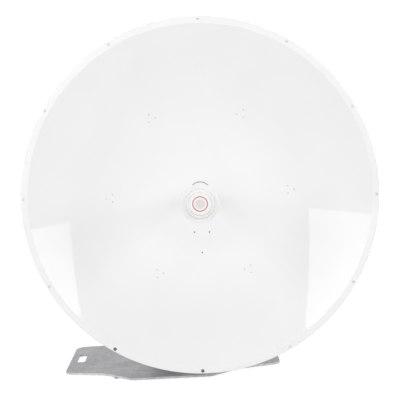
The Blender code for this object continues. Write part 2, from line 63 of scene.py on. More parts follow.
# %% Read the leading sizes from the frame
rim_low, rim_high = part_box("rim_ring")
plate_low, plate_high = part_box("base_plate")
mast_low, mast_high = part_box("mast_pole")

AXIS = Vector((0, 0, (rim_low.z + rim_high.z) / 2))
RIM_RADIUS = (rim_high.x - rim_low.x) / 2
RIM_FACE = rim_low.y
RIM_BACK = rim_high.y
BOWL_RADIUS = 0.578
FOCAL_LENGTH = BOWL_RADIUS ** 2 / (4 * -RIM_FACE)
MAST = Vector(((mast_low.x + mast_high.x) / 2, (mast_low.y + mast_high.y) / 2, 0))
GAP = 0.0003
print("dish axis at", round(AXIS.z, 4), "and rim radius", round(RIM_RADIUS, 4))
print("focal length", round(FOCAL_LENGTH, 4))

# %% [markdown]
# ## The camera
# The photograph was taken from far away with a long lens, a little above the middle of the dish, and
# the antenna leans slightly in the picture. Four and a half metres of distance, a 116 mm lens on a
# 36 mm sensor and a small roll give the same view. A quaternion that tracks the target keeps the
# horizon level, so the roll is put on after it.

# %% Place the camera
CAMERA_DISTANCE = 4.5
CAMERA_AZIMUTH = radians(0.265)
CAMERA_ELEVATION = radians(4.659)
CAMERA_ROLL = radians(-2.966)
SENSOR_WIDTH = 36
LENS = 116
LOOK_AT = AXIS + Vector((-0.0018, 0, -0.0254))

camera = bpy.data.objects.new("camera", bpy.data.cameras.new("camera"))
bpy.context.scene.collection.objects.link(camera)
camera.data.sensor_width = SENSOR_WIDTH
camera.data.lens = LENS
backwards = Vector((
    sin(CAMERA_AZIMUTH) * cos(CAMERA_ELEVATION),
    -cos(CAMERA_AZIMUTH) * cos(CAMERA_ELEVATION),
    sin(CAMERA_ELEVATION),
))
camera.location = LOOK_AT + CAMERA_DISTANCE * backwards
camera.rotation_mode = "QUATERNION"
camera.rotation_quaternion = (-backwards).to_track_quat("-Z", "Y") @ Quaternion((0, 0, 1), CAMERA_ROLL)
bpy.context.scene.camera = camera
print("camera at", [round(value, 3) for value in camera.location])

# %% [markdown]
# ## Node materials in few words
# A procedural finish is a handful of nodes, and writing each with its links takes many lines. One helper
# makes a node, sets its options and fills its sockets: a socket that is given another socket is linked,
# any other value is set on it. Numbers that are the same all over a surface go straight to the shader.

# %% Helpers for nodes and finishes


def node(tree, kind, fill=None, **options):
    """Add a node, set its options, and set or link its input sockets."""
    made = tree.nodes.new(kind)
    for name, value in options.items():
        setattr(made, name, value)
    for name, value in (fill or {}).items():
        if isinstance(value, bpy.types.NodeSocket):
            tree.links.new(value, made.inputs[name])
        else:
            made.inputs[name].default_value = value
    return made


def new_finish(name, **uniform):
    """A material with its Principled shader; uniform values are given as words, such as metallic=1."""
    material = bpy.data.materials.new(name)
    material.use_nodes = True
    shader = material.node_tree.nodes["Principled BSDF"]
    for word, value in uniform.items():
        shader.inputs[word.replace("_", " ").title().replace("Ior", "IOR")].default_value = value
    return material, material.node_tree, shader


print("ready: node and new_finish")

# %% Helpers for ramps, blends and noise


def ramp(tree, factor, low, high, start=0.0, end=1.0):
    """A socket that runs from one number to another as the factor goes from start to end."""
    made = node(tree, "ShaderNodeMapRange", {
        "Value": factor, "From Min": start, "From Max": end, "To Min": low, "To Max": high})
    return made.outputs["Result"]


def blend(tree, factor, first, second):
    """A socket that mixes two colours."""
    made = node(tree, "ShaderNodeMix", data_type="RGBA", clamp_factor=True)
    for socket, value in ((made.inputs[0], factor), (made.inputs[6], first), (made.inputs[7], second)):
        if isinstance(value, bpy.types.NodeSocket):
            tree.links.new(value, socket)
        else:
            socket.default_value = value if socket.type == "VALUE" else (*value, 1)
    return made.outputs[2]


def places(tree, scale=(1, 1, 1)):
    """The piece's own coordinates, in metres, stretched by a scale."""
    source = node(tree, "ShaderNodeTexCoord").outputs["Object"]
    return node(tree, "ShaderNodeMapping", {"Vector": source, "Scale": scale}).outputs["Vector"]


def noise(tree, where, scale, detail=2.0, roughness=0.5):
    """Cloudy noise, with this many blobs to the metre."""
    made = node(tree, "ShaderNodeTexNoise", {
        "Vector": where, "Scale": scale, "Detail": detail, "Roughness": roughness})
    return made.outputs["Fac"]


def times(tree, first, second):
    """The product of two sockets."""
    return node(tree, "ShaderNodeMath", {0: first, 1: second}, operation="MULTIPLY").outputs[0]


def off_axis(tree, where):
    """How far a place is from the dish's axis, in metres."""
    from_axis = {"Vector": where, "Location": (0, 0, -AXIS.z), "Scale": (1, 0, 1)}
    flat = node(tree, "ShaderNodeMapping", from_axis)
    return node(tree, "ShaderNodeVectorMath", {0: flat.outputs[0]}, operation="LENGTH").outputs["Value"]


def bump(tree, height, distance, strength=1.0):
    """A normal from a height from 0 to 1 that stands for this many metres."""
    made = node(tree, "ShaderNodeBump", {"Height": height, "Distance": distance, "Strength": strength})
    return made.outputs["Normal"]


print("ready: ramp, blend, places, noise, times, off_axis and bump")

# %% [markdown]
# ## White paint on spun aluminium
# The reflector is a disc of aluminium that was spun over a former and then painted glossy white. Paint
# on sheet is never perfectly flat: it has orange peel, a fine soft dimpling a few millimetres across, and
# the spinning leaves faint rings under it. Both are far too small to model, so they are a bump of a few
# micrometres. Without them the mirror images of the lamps would look like glass. The middle of the bowl
# is painted a shade whiter than the rim: a painted glow for the light that the centre catches.

# %% Make the white paint
# the middle of the bowl is painted a shade whiter than the rim: a painted glow for the light the centre
# catches
PAINTED_GLOW_WITHIN = (0.14, 0.36)
OUTER_WHITE = ((0.785, 0.787, 0.79), (0.81, 0.81, 0.812))
PAINTED_GLOW_WHITE = ((0.83, 0.832, 0.835), (0.855, 0.855, 0.857))
ORANGE_PEEL = 0.00003
SPINNING_RINGS = 0.00004


def make_white_paint():
    """Glossy white paint with orange peel, faint spinning rings and a middle painted whiter as a glow."""
    material, tree, shader = new_finish(
        "white_paint", coat_weight=0.9, coat_roughness=0.03, specular_ior_level=0.25)
    where = places(tree)
    peel = noise(tree, where, 260, detail=1.0)
    distance = off_axis(tree, where)
    ring_place = node(tree, "ShaderNodeCombineXYZ", {"X": distance}).outputs["Vector"]
    rings = bump(tree, noise(tree, ring_place, 90, detail=2.0), SPINNING_RINGS, 0.5)
    normal = node(tree, "ShaderNodeBump", {
        "Height": peel, "Distance": ORANGE_PEEL, "Strength": 0.5, "Normal": rings}).outputs["Normal"]
    cloud = ramp(tree, noise(tree, where, 3.5, detail=4.0), 0, 1, 0.35, 0.65)
    outer = blend(tree, cloud, *OUTER_WHITE)
    middle = blend(tree, cloud, *PAINTED_GLOW_WHITE)
    # painted glow: towards the middle the tone is blended to the whiter one
    tone = blend(tree, ramp(tree, distance, 1, 0, *PAINTED_GLOW_WITHIN), outer, middle)
    tree.links.new(tone, shader.inputs["Base Color"])
    tree.links.new(ramp(tree, noise(tree, where, 22, detail=3.0), 0.26, 0.36), shader.inputs["Roughness"])
    tree.links.new(normal, shader.inputs["Normal"])
    return material


WHITE_PAINT = make_white_paint()
print("made", WHITE_PAINT.name)

# %% [markdown]
# ## Shapes from rows of points
# Most pieces here are turned, pressed, drawn or cut from plate, and each of those is a row of loops of
# points with faces between them: a turned piece has the same circle in many sizes, a bent rod the same
# circle at every step. One function that skins such loops makes them all, and each result stays a plain
# list of points and faces, so that several can be moved, copied and joined into one piece.

# %% Skin loops of points


def skin(loops, ring=False, caps=True):
    """Faces between a row of equal closed loops; a ring joins the last loop to the first."""
    count = len(loops[0])
    points = [Vector(point) for loop in loops for point in loop]
    faces = []
    for row in range(len(loops) if ring else len(loops) - 1):
        near, far = row * count, (row + 1) % len(loops) * count
        for k in range(count):
            after = (k + 1) % count
            faces.append((near + k, near + after, far + after, far + k))
    if caps and not ring:
        faces.append(tuple(range(count)))
        faces.append(tuple(range((len(loops) - 1) * count, len(loops) * count)))
    return points, faces


def moved(parts, matrix):
    """The same parts in another place."""
    return [([matrix @ point for point in points], faces) for points, faces in parts]


def circle(radius, sides, height):
    """A loop of points round the Z axis."""
    turns = [2 * pi * k / sides for k in range(sides)]
    return [(radius * cos(turn), radius * sin(turn), height) for turn in turns]


def turned(profile, sides, ring=False):
    """A row of (radius, height) points turned round the Z axis; a ring has a bore, the rest flat ends."""
    return skin([circle(radius, sides, height) for radius, height in profile], ring)


def soften(corners, closed=True, steps=4):
    """A line through (u, v, radius) corners, each rounded by an arc of that radius."""
    line = []
    last = len(corners) - 1
    for k, (u, v, radius) in enumerate(corners):
        here = Vector((u, v))
        if radius == 0 or (not closed and k in (0, last)):
            line.append(here)
            continue
        before = (Vector(corners[k - 1][:2]) - here).normalized()
        after = (Vector(corners[(k + 1) % len(corners)][:2]) - here).normalized()
        half = before.angle(after) / 2
        centre = here + (before + after).normalized() * radius / sin(half)
        first = here + before * radius / tan(half) - centre
        final = here + after * radius / tan(half) - centre
        turn = atan2(first.x * final.y - first.y * final.x, first.dot(final))
        line += [centre + Matrix.Rotation(turn * step / steps, 2) @ first for step in range(steps + 1)]
    return line


SOFT_SQUARE = soften([(1, 0, 0.1), (2, 0, 0.1), (2, 1, 0.1), (1, 1, 0.1)])
print("a soft square has", len(SOFT_SQUARE), "points; turned, it has",
      len(turned(SOFT_SQUARE, 12, True)[1]), "faces")

# %% Place parts and join them into pieces
# the axis of a turned part is Z; these turn it to point along the dish's axis or across the mount
FORWARDS = Matrix.Rotation(pi / 2, 4, "X")
BACKWARDS = Matrix.Rotation(-pi / 2, 4, "X")
RIGHTWARDS = Matrix.Rotation(pi / 2, 4, "Y")
LEFTWARDS = Matrix.Rotation(-pi / 2, 4, "Y")
SHARP_ANGLE = radians(35)


def at(x, y, z, turn=Matrix.Identity(4)):
    """A matrix that turns a part and then puts it at a place."""
    return Matrix.Translation((x, y, z)) @ turn


def piece(name, parts, material, slot, *stands_for):
    """Join parts into one object that rides on the antenna and may stand for nodes of the frame."""
    shape = bmesh.new()
    for points, faces in parts:
        made = [shape.verts.new(point) for point in points]
        for face in faces:
            shape.faces.new([made[k] for k in face])
    bmesh.ops.recalc_face_normals(shape, faces=shape.faces)
    mesh = bpy.data.meshes.new(name)
    shape.to_mesh(mesh)
    shape.free()
    mesh.shade_smooth()
    mesh.set_sharp_from_angle(angle=SHARP_ANGLE)
    mesh.materials.append(material)
    made = bpy.data.objects.new(name, mesh)
    bpy.context.scene.collection.objects.link(made)
    even = made.modifiers.new("even_shading", "WEIGHTED_NORMAL")
    even.keep_sharp = True
    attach(made, "root")
    if stands_for:
        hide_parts(*stands_for)
    print(name, "has", len(mesh.polygons), "faces")
    return made


print("ready: at and piece")

# %% [markdown]
# ## Plate, cut to shape
# Sheet and plate are cut by laser or torch, and a cut edge is never razor sharp: the galvaniser's bath
# and the deburring tool leave it round. A bevel modifier trips over the corners of a cut-out, so each
# outline is moved inwards by a small distance near the two faces, which gives a true rounded edge. The
# outline runs anticlockwise and a hole clockwise; the metal is then on the left of both.

# %% Cut plates with rounded edges


def inset(loop, distance):
    """A closed line moved to its left."""
    shifted = []
    for k, here in enumerate(loop):
        before = (here - loop[k - 1]).normalized()
        after = (loop[(k + 1) % len(loop)] - here).normalized()
        across = Vector((-before.y - after.y, before.x + after.x)).normalized()
        slant = max(across.dot(Vector((-before.y, before.x))), 0.5)
        shifted.append(here + across * distance / slant)
    return shifted


def plate(outline, low, high, edge, holes=()):
    """A plate from one height to another, with edges rounded by a radius and with holes."""
    quarter = edge * (1 - cos(pi / 4))
    rows = [(edge, low), (quarter, low + quarter), (0, low + edge),
            (0, high - edge), (quarter, high - quarter), (edge, high)]
    points, faces, bottoms, tops = [], [], [], []
    for loop in (outline, *holes):
        first = len(points)
        loops = [[(*point, height) for point in inset(loop, depth)] for depth, height in rows]
        wall, wall_faces = skin(loops, caps=False)
        points += wall
        faces += [tuple(first + k for k in face) for face in wall_faces]
        bottoms.append(range(first, first + len(loop)))
        tops.append(range(len(points) - len(loop), len(points)))
    for rims in (bottoms, tops):
        numbers = [k for rim in rims for k in rim]
        flat = tessellate_polygon([[points[k] for k in rim] for rim in rims])
        faces += [tuple(numbers[k] for k in face) for face in flat]
    return points, faces


print("ready: inset and plate")

# %% Corners and holes for plates


def oblong(low, high, radius):
    """The four corners of an upright oblong, each with the same rounding."""
    return [(low[0], low[1], radius), (high[0], low[1], radius),
            (high[0], high[1], radius), (low[0], high[1], radius)]


def slot_hole(u, v, half_length, half_width, upright, steps=12):
    """A hole with round ends; without a length to spare it is a round one."""
    reach = half_length - half_width
    line = []
    for end in (1, -1):
        for k in range(steps + 1):
            angle = pi / 2 - pi * k / steps + (0 if end == 1 else pi)
            along, across = end * reach + half_width * cos(angle), half_width * sin(angle)
            line.append(Vector((u - across, v + along) if upright else (u + along, v + across)))
    if reach < 1e-6:
        del line[steps + 1], line[-1]
    return line


print("a round hole has", len(slot_hole(0, 0, 1, 1, False)), "points")

# %% [markdown]
# ## Screws, nuts and welds
# The eye knows a bolt by its details: the corners of the hexagon are cut by a cone of 30 degrees, a
# washer lies under it and a few turns of thread stand out of the nut. Each is a short row of loops. The
# thread is a stack of ridges rather than a true helix, which nobody can tell apart at this size. A weld
# is a bead that swells and shrinks a little at every ripple. In the sizes below, a head is its width
# across flats, its thickness and its washer's bore; a nut is its width, its thickness, the thread's
# radius and how far the thread comes through.

# %% Make heads, nuts and threads
HEX_POINTS = 36
HEX_END = 0.95
HEX_CHAMFER = 0.0002
WASHER_THICK = 0.1
WASHER_WIDE = 0.62
BORE_EASE = 1.05
SMALL_HEAD = (0.013, 0.0053, 0.0042)
SMALL_NUT = (0.013, 0.0065, 0.004, 0.004)


def plain_rod(radius, low, high, sides=32):
    """A smooth round rod along Z."""
    return skin([circle(radius, sides, low), circle(radius, sides, high)])


def hexagon(across, low, high):
    """A hexagonal head or nut along Z whose corners are cut by cones at both ends."""
    flat = across / 2
    turns = [2 * pi * k / HEX_POINTS for k in range(HEX_POINTS)]
    reach = [flat / cos((turn + pi / 6) % (pi / 3) - pi / 6) for turn in turns]
    rims = []
    for height, inwards in ((low, 1), (high, -1)):
        drops = [HEX_CHAMFER + (r - flat) * tan(pi / 6) for r in reach]
        rims.append([(r * cos(t), r * sin(t), height + inwards * drop)
                     for r, t, drop in zip(reach, turns, drops)])
    end = flat * HEX_END
    return skin([circle(end, HEX_POINTS, low), *rims, circle(end, HEX_POINTS, high)])


def washer(bore, outer, low, high):
    """A flat ring with soft edges."""
    soft = (high - low) / 3
    outline = soften([(bore, low, 0), (outer, low, soft), (outer, high, soft), (bore, high, 0)], steps=2)
    return turned(outline, 40, True)


def thread(radius, low, high, pitch=0.0015):
    """A threaded rod along Z with chamfered ends."""
    turns = round((high - low) / pitch * 2)
    rows = [(radius - 0.45 * pitch * (k % 2), low + (high - low) * k / turns) for k in range(1, turns)]
    return turned([(radius - pitch, low), *rows, (radius - pitch, high)], 24)


def bolt_head(across, thick, bore):
    """A head on its washer, seated at height 0."""
    lift = across * WASHER_THICK
    return [washer(bore, across * WASHER_WIDE, 0, lift), hexagon(across, lift, lift + thick)]


def nut_end(across, thick, radius, past):
    """A nut on its washer, seated at height 0, with the thread that comes through it."""
    top = across * WASHER_THICK + thick
    return bolt_head(across, thick, radius * BORE_EASE) + [thread(radius, 0, top + past)]


print("a nut with its washer and thread has",
      sum(len(faces) for _, faces in nut_end(*SMALL_NUT)), "faces")

# %% Bend rods and lay weld beads
WELD_STEP = 0.001
UP = Vector((0, 0, 1))


def sweep(path, radii, up, sides=16, ring=False):
    """A round rod along a flat path that is seen from the direction up, with a radius at each point."""
    count = len(path)
    loops = []
    for k, here in enumerate(path):
        before = path[k - 1] if ring else path[max(k - 1, 0)]
        after = path[(k + 1) % count] if ring else path[min(k + 1, count - 1)]
        across = (after - before).normalized().cross(up)
        loops.append([here + radii[k] * (cos(a) * across + sin(a) * up)
                      for a in (2 * pi * side / sides for side in range(sides))])
    return skin(loops, ring)


def weld(start, end, size, up):
    """A straight bead between two points, rippled every two millimetres."""
    start, end = Vector(start), Vector(end)
    steps = round((end - start).length / WELD_STEP)
    path = [start.lerp(end, k / steps) for k in range(steps + 1)]
    radii = [size * (0.5 if k in (0, steps) else 1.06 - 0.14 * (k % 2)) for k in range(steps + 1)]
    return sweep(path, radii, Vector(up), 10)


print("a weld of 50 mm has", len(weld((0, 0, 0), (0.05, 0, 0), 0.003, UP)[1]), "faces")

# %% [markdown]
# ## The reflector
# The dish is one spun sheet: a parabola, a bend where it meets the flat rim, and a lip turned back that
# makes the edge stiff. A slice of a sphere or a lattice would be easier to place, but a parabola is what
# gathers the beam, and its curve shows in every reflection. The profile runs along the front, and its
# copy, moved by the sheet's thickness, comes back along the rear.

# %% Draw the reflector's profile
SHEET = 0.0022
OPENING = 0.0392
RINGS = 64
EDGE_BEND = 0.004
LIP_BEND = 0.003
LIP_RUN = 0.008
SEGMENTS = 256


def bowl_depth(radius):
    """How far along Y the front of the bowl is at a distance from its axis."""
    return -radius ** 2 / (4 * FOCAL_LENGTH)


def offset_line(line, distance):
    """An open line moved sideways, to the left of its direction."""
    shifted = []
    for k, here in enumerate(line):
        before = line[max(k - 1, 0)]
        after = line[min(k + 1, len(line) - 1)]
        along = (after - before).normalized()
        shifted.append(here + Vector((-along.y, along.x)) * distance)
    return shifted


def reflector_profile():
    """The closed outline of the sheet, in (radius, Y) pairs."""
    step = (BOWL_RADIUS - OPENING) / RINGS
    bowl = [(OPENING + step * k, bowl_depth(OPENING + step * k), 0) for k in range(RINGS)]
    edge = [
        (BOWL_RADIUS, RIM_FACE, EDGE_BEND),
        (RIM_RADIUS - LIP_BEND - LIP_RUN, RIM_FACE, 0),
        (RIM_RADIUS, RIM_FACE, LIP_BEND),
        (RIM_RADIUS, RIM_BACK, 0),
    ]
    front = soften(bowl + edge, closed=False, steps=6)
    back = offset_line(front, SHEET)
    return front + back[::-1]


profile = reflector_profile()
print("points in the profile:", len(profile))

# %% [markdown]
# ## Turn the reflector and drill its rim
# Twelve 8 mm holes in the rim take the screws of a cover. A Boolean is right here: the holes go through a
# flat ring, so the cut leaves the shading alone. The drills are one mesh of rods, and the modifier is
# applied at once, so that no helper object is left in the scene. Behind ten of the holes sits a press-in
# nut, painted over with the rest; the two lowest are left open and let rain out.

# %% Place and drill the rim's holes
RIM_HOLES = 12
RIM_HOLE_RADIUS = 0.004
RIM_HOLE_CIRCLE = 0.5905
RIM_HOLE_TURN = radians(-2.06)
RIM_DRILL = (-0.01, 0.02)
DRAINS = (0, 11)


def dish_place(radius, angle, lift=0.0):
    """A point at a radius and an angle from +X, seen from the front, lifted off the bowl's front."""
    return Vector((radius * cos(angle), bowl_depth(radius) - lift, AXIS.z + radius * sin(angle)))


def drill(target, rods):
    """Cut rods out of a piece for good."""
    drills = piece("drills", rods, target.data.materials[0], "white_paint")
    cut = target.modifiers.new("drill", "BOOLEAN")
    cut.object = drills
    cut.operation = "DIFFERENCE"
    even = target.modifiers["even_shading"]
    even.show_viewport = False
    graph = bpy.context.evaluated_depsgraph_get()
    drilled = bpy.data.meshes.new_from_object(target.evaluated_get(graph))
    even.show_viewport = True
    target.modifiers.remove(cut)
    target.data = drilled
    drilled.name = target.name
    bpy.data.objects.remove(drills)


def rim_hole_places():
    """The number and the middle of each of the rim's holes, on its front face."""
    for k in range(RIM_HOLES):
        angle = 2 * pi * k / RIM_HOLES - pi / 2 + RIM_HOLE_TURN
        yield k, (RIM_HOLE_CIRCLE * cos(angle), RIM_FACE, AXIS.z + RIM_HOLE_CIRCLE * sin(angle))


print("holes in the rim:", len(list(rim_hole_places())))

# %% Turn the reflector and fit its nuts


def make_reflector():
    """The spun sheet with its rim holes."""
    sheet = turned([(p.x, -p.y) for p in profile], SEGMENTS, True)
    reflector = piece("spun_reflector", moved([sheet], at(*AXIS, FORWARDS)), WHITE_PAINT, "white_paint",
                      "reflector_dish", "rim_ring")
    rod = plain_rod(RIM_HOLE_RADIUS, *RIM_DRILL, 24)
    rods = []
    for _, place in rim_hole_places():
        rods += moved([rod], at(*place, BACKWARDS))
    drill(reflector, rods)
    return reflector


def make_rim_nuts():
    """Blind press-in nuts behind the rim, each a small cup with a soft end."""
    cup = soften([
        (0.0004, 0.0040, 0), (0.0040, 0.0040, 0.0004), (0.0040, SHEET, 0), (0.0060, SHEET, 0.0003),
        (0.0060, 0.0092, 0.0012), (0.0004, 0.0092, 0)], closed=False, steps=2)
    nut = turned(cup, 24)
    parts = []
    for k, place in rim_hole_places():
        if k not in DRAINS:
            parts += moved([nut], at(*place, BACKWARDS))
    piece("rim_press_nuts", parts, WHITE_PAINT, "white_paint")


reflector = make_reflector()
make_rim_nuts()
print("drilled reflector:", len(reflector.data.polygons), "faces")

# %% [markdown]
# ## White and black plastic
# The feed's cap and cone are moulded from a white plastic that radio waves pass through. It is a little
# warm in colour and lets light wander under its skin, which a touch of subsurface scattering gives; the
# mould leaves a fine even grain. The mast's plug and the dust cover are the same idea in black, where a
# faint greyness from the sun is what keeps them from looking like holes.

# %% Make the plastics


def make_plastic(name, low, high, subsurface, grain):
    """Moulded plastic with a fine grain and a cloudy change of tone."""
    material, tree, shader = new_finish(name, subsurface_scale=0.002, subsurface_weight=subsurface)
    where = places(tree)
    cloud = ramp(tree, noise(tree, where, 30, detail=4.0), 0, 1, 0.3, 0.7)
    tree.links.new(blend(tree, cloud, low, high), shader.inputs["Base Color"])
    tree.links.new(ramp(tree, noise(tree, where, 120, detail=3.0), 0.32, 0.46), shader.inputs["Roughness"])
    tree.links.new(bump(tree, noise(tree, where, 1800, detail=2.0), grain, 0.6), shader.inputs["Normal"])
    return material


WHITE_PLASTIC = make_plastic("white_plastic", (0.75, 0.75, 0.745), (0.78, 0.78, 0.775), 0.12, 0.00003)
BLACK_PLASTIC = make_plastic("black_plastic", (0.018, 0.018, 0.018), (0.035, 0.034, 0.033), 0.0, 0.00005)
print("made", WHITE_PLASTIC.name, "and", BLACK_PLASTIC.name)

# %% [markdown]
# ## Grommets in the drain holes
# The two lowest holes are the only ones in the rim that look black, from the shade behind them. A black
# rubber grommet lines each of them as painted shade: a dark part put where the holes are only in shade.
# It is turned from one outline: a thin lip in front, a neck through the sheet and a thicker lip behind.

# %% Fit the grommets
GROMMET = [
    (0.0022, -0.0006, 0.0003), (0.0056, -0.0006, 0.0004), (0.0056, -0.0001, 0), (0.0038, -0.0001, 0),
    (0.0038, SHEET + 0.0001, 0), (0.0052, SHEET + 0.0001, 0), (0.0052, SHEET + 0.0010, 0.0004),
    (0.0022, SHEET + 0.0010, 0.0004),
]
grommet = turned(soften(GROMMET, steps=3), 32, True)
grommets = []
for k, place in rim_hole_places():
    if k in DRAINS:
        grommets += moved([grommet], at(*place, BACKWARDS))
# the black grommets paint in the shade that is seen through the two lowest holes
piece("painted_shade_grommets", grommets, BLACK_PLASTIC, "black_plastic")

# %% [markdown]
# ## The feed's cap and cone
# At the dish's focus a stepped cap throws the waves back onto the bowl. Its face is a stack of flat
# steps, each with a soft edge, and behind it a plastic cone narrows to the tube's mouth. Both are turned
# parts, so one profile each is enough; the grooves between the steps are what catches the light.

# %% Turn the cap and the cone
CAP_SIDES = 96
CAP_BACK = -0.4403
CAP_PROFILE = [
    (0.0010, CAP_BACK, 0), (0.0600, CAP_BACK, 0.0008), (0.0625, CAP_BACK - 0.0022, 0.0010),
    (0.0625, -0.4473, 0.0016), (0.0490, -0.4484, 0.0015), (0.0465, -0.4505, 0.0010),
    (0.0453, -0.4580, 0.0010), (0.0385, -0.4583, 0.0006), (0.0370, -0.4600, 0.0006),
    (0.0355, -0.4651, 0.0010), (0.0010, -0.4651, 0),
]
CONE_PROFILE = [
    (0.0010, -0.4400, 0), (0.0520, -0.4400, 0.0008), (0.0500, -0.4340, 0.0030),
    (0.0220, -0.3950, 0.0120), (0.0190, -0.3853, 0.0008), (0.0010, -0.3853, 0),
]


def turned_ahead(corners, sides, ring=False, steps=4):
    """A part turned round the dish's axis from corners of (radius, Y, rounding)."""
    line = soften([(r, -y, soft) for r, y, soft in corners], closed=ring, steps=steps)
    return moved([turned(line, sides, ring)], at(*AXIS, FORWARDS))


cap = turned_ahead(CAP_PROFILE, CAP_SIDES)
piece("stepped_cap", cap, WHITE_PLASTIC, "white_plastic", "subreflector_cap")
cone = turned_ahead(CONE_PROFILE, CAP_SIDES)
piece("feed_cone_body", cone, WHITE_PLASTIC, "white_plastic", "feed_cone")

# %% [markdown]
# ## The round label
# A thin round film sits on the cap, white with a red ring and a pale grey middle. The ring is made from
# the distance to the label's middle, so that it stays sharp at any size, and its ink is a little worn:
# noise eats into the red.

# %% Make the label
LABEL_RING = 0.0228
LABEL_RING_HALF = 0.0019
LABEL_MIDDLE = 0.0175


def make_label_film():
    """White film with a worn red ring and a pale grey middle, by distance from the dish's axis."""
    material, tree, shader = new_finish("label_film", roughness=0.35)
    where = places(tree)
    distance = off_axis(tree, where)
    off_ring = node(tree, "ShaderNodeMath", {0: distance, 1: LABEL_RING}, operation="SUBTRACT").outputs[0]
    off_ring = node(tree, "ShaderNodeMath", {0: off_ring}, operation="ABSOLUTE").outputs[0]
    ring = ramp(tree, off_ring, 1, 0, LABEL_RING_HALF - 0.0004, LABEL_RING_HALF + 0.0004)
    wear = ramp(tree, noise(tree, where, 700, detail=4.0), 0.75, 1, 0.35, 0.50)
    ring = times(tree, ring, wear)
    middle = ramp(tree, distance, 1, 0, LABEL_MIDDLE - 0.003, LABEL_MIDDLE + 0.001)
    middle_cloud = ramp(tree, noise(tree, where, 260, detail=2.0), 0.6, 1, 0.42, 0.6)
    middle = times(tree, middle, middle_cloud)
    paper = blend(tree, middle, (0.83, 0.82, 0.81), (0.60, 0.575, 0.575))
    colour = blend(tree, ring, paper, (0.52, 0.12, 0.13))
    tree.links.new(colour, shader.inputs["Base Color"])
    tree.links.new(bump(tree, noise(tree, where, 90, detail=1.0), 0.0001, 0.5), shader.inputs["Normal"])
    return material


LABEL_FILM = make_label_film()
LABEL_PROFILE = [
    (0.0010, -0.4654, 0), (0.0285, -0.4654, 0.0002), (0.0285, -0.4660, 0.0002), (0.0010, -0.4660, 0),
]
label = turned_ahead(LABEL_PROFILE, CAP_SIDES, steps=2)
piece("round_label", label, LABEL_FILM, "label_film", "cap_label")

# %% [markdown]
# ## Cast and drawn aluminium
# The flanges behind the feed and the saddles on the mast are aluminium castings. A casting that is left as
# it came has a fine sandy skin and a dull grey that wanders from place to place. Two sizes of noise do
# it: a coarse one for the tone and the shine, a fine one for the skin. The feed's tube is drawn, which
# leaves it brighter and smoother: the same finish with other numbers.

# %% Make the aluminium


def make_aluminium(name, low, high, roughness, grain):
    """Bare aluminium with a sandy skin; grain is the height of the skin in metres."""
    material, tree, shader = new_finish(name, metallic=1.0)
    where = places(tree)
    cloud = ramp(tree, noise(tree, where, 25, detail=5.0), 0, 1, 0.3, 0.7)
    tree.links.new(blend(tree, cloud, low, high), shader.inputs["Base Color"])
    shine = ramp(tree, noise(tree, where, 60, detail=4.0), roughness, roughness + 0.15, 0.35, 0.65)
    tree.links.new(shine, shader.inputs["Roughness"])
    tree.links.new(bump(tree, noise(tree, where, 900, detail=3.0), grain, 0.7), shader.inputs["Normal"])
    return material


CAST_ALUMINIUM = make_aluminium("cast_aluminium", (0.46, 0.47, 0.48), (0.58, 0.59, 0.60), 0.38, 0.00012)
DRAWN_ALUMINIUM = make_aluminium("drawn_aluminium", (0.60, 0.61, 0.62), (0.70, 0.71, 0.72), 0.22, 0.00002)
print("made", CAST_ALUMINIUM.name, "and", DRAWN_ALUMINIUM.name)

# %% [markdown]
# ## Collar and tube
# The tube brings the waves to the cone and passes through a collar in the middle of the dish. Both are
# turned rings, so a profile each is enough. The collar's nose is chamfered and painted white with the
# dish, and the narrow gap between them stays dark: in the photograph it is the thin arc above the cap.

# %% Turn the collar and the tube
DRUM_BACK = 0.060
TUBE_RADIUS = 0.016
COLLAR_PROFILE = [
    (0.0163, -0.0100, 0.0006), (0.0300, -0.0100, 0.0015), (0.0370, -0.0040, 0.0015),
    (0.0370, DRUM_BACK, 0.0006), (0.0163, DRUM_BACK, 0.0006),
]
TUBE_PROFILE = [
    (0.0140, -0.3850, 0.0004), (TUBE_RADIUS, -0.3850, 0.0004), (TUBE_RADIUS, DRUM_BACK, 0.0004),
    (0.0140, DRUM_BACK, 0.0004),
]
collar = turned_ahead(COLLAR_PROFILE, 96, True)
piece("collar", collar, WHITE_PAINT, "white_paint", "feed_collar")
tube = turned_ahead(TUBE_PROFILE, 64, True)
piece("waveguide_tube", tube, DRAWN_ALUMINIUM, "cast_aluminium", "feed_tube")

# %% [markdown]
# ## Zinc plate, blackened steel and small fixings
# The screws and nuts are plated with zinc: bright, slightly warm, with a drawn grain. Three small
# blackened screws below the feed are the darkest spots of the dish. The ribs behind the dish are held by
# groups of three rivets, whose round heads show as grey dots in the bowl and whose tails show behind.

# %% Make the small-part finishes


def make_bright_steel(name, low, high, roughness, metallic=1.0):
    """Plated or blackened steel with a cloudy shine and fine scratches."""
    material, tree, shader = new_finish(name, metallic=metallic)
    where = places(tree)
    cloud = ramp(tree, noise(tree, where, 180, detail=4.0), 0, 1, 0.3, 0.7)
    tree.links.new(blend(tree, cloud, low, high), shader.inputs["Base Color"])
    shine = ramp(tree, noise(tree, where, 400, detail=3.0), roughness, roughness + 0.2, 0.35, 0.65)
    tree.links.new(shine, shader.inputs["Roughness"])
    scratches = noise(tree, places(tree, (1, 1, 14)), 300, detail=2.0)
    tree.links.new(bump(tree, scratches, 0.00002, 0.5), shader.inputs["Normal"])
    return material


ZINC_PLATE = make_bright_steel("zinc_plate", (0.55, 0.54, 0.50), (0.72, 0.70, 0.66), 0.22)
DARK_STEEL = make_bright_steel("dark_steel", (0.035, 0.034, 0.033), (0.075, 0.072, 0.070), 0.40, 0.5)
print("made", ZINC_PLATE.name, "and", DARK_STEEL.name)

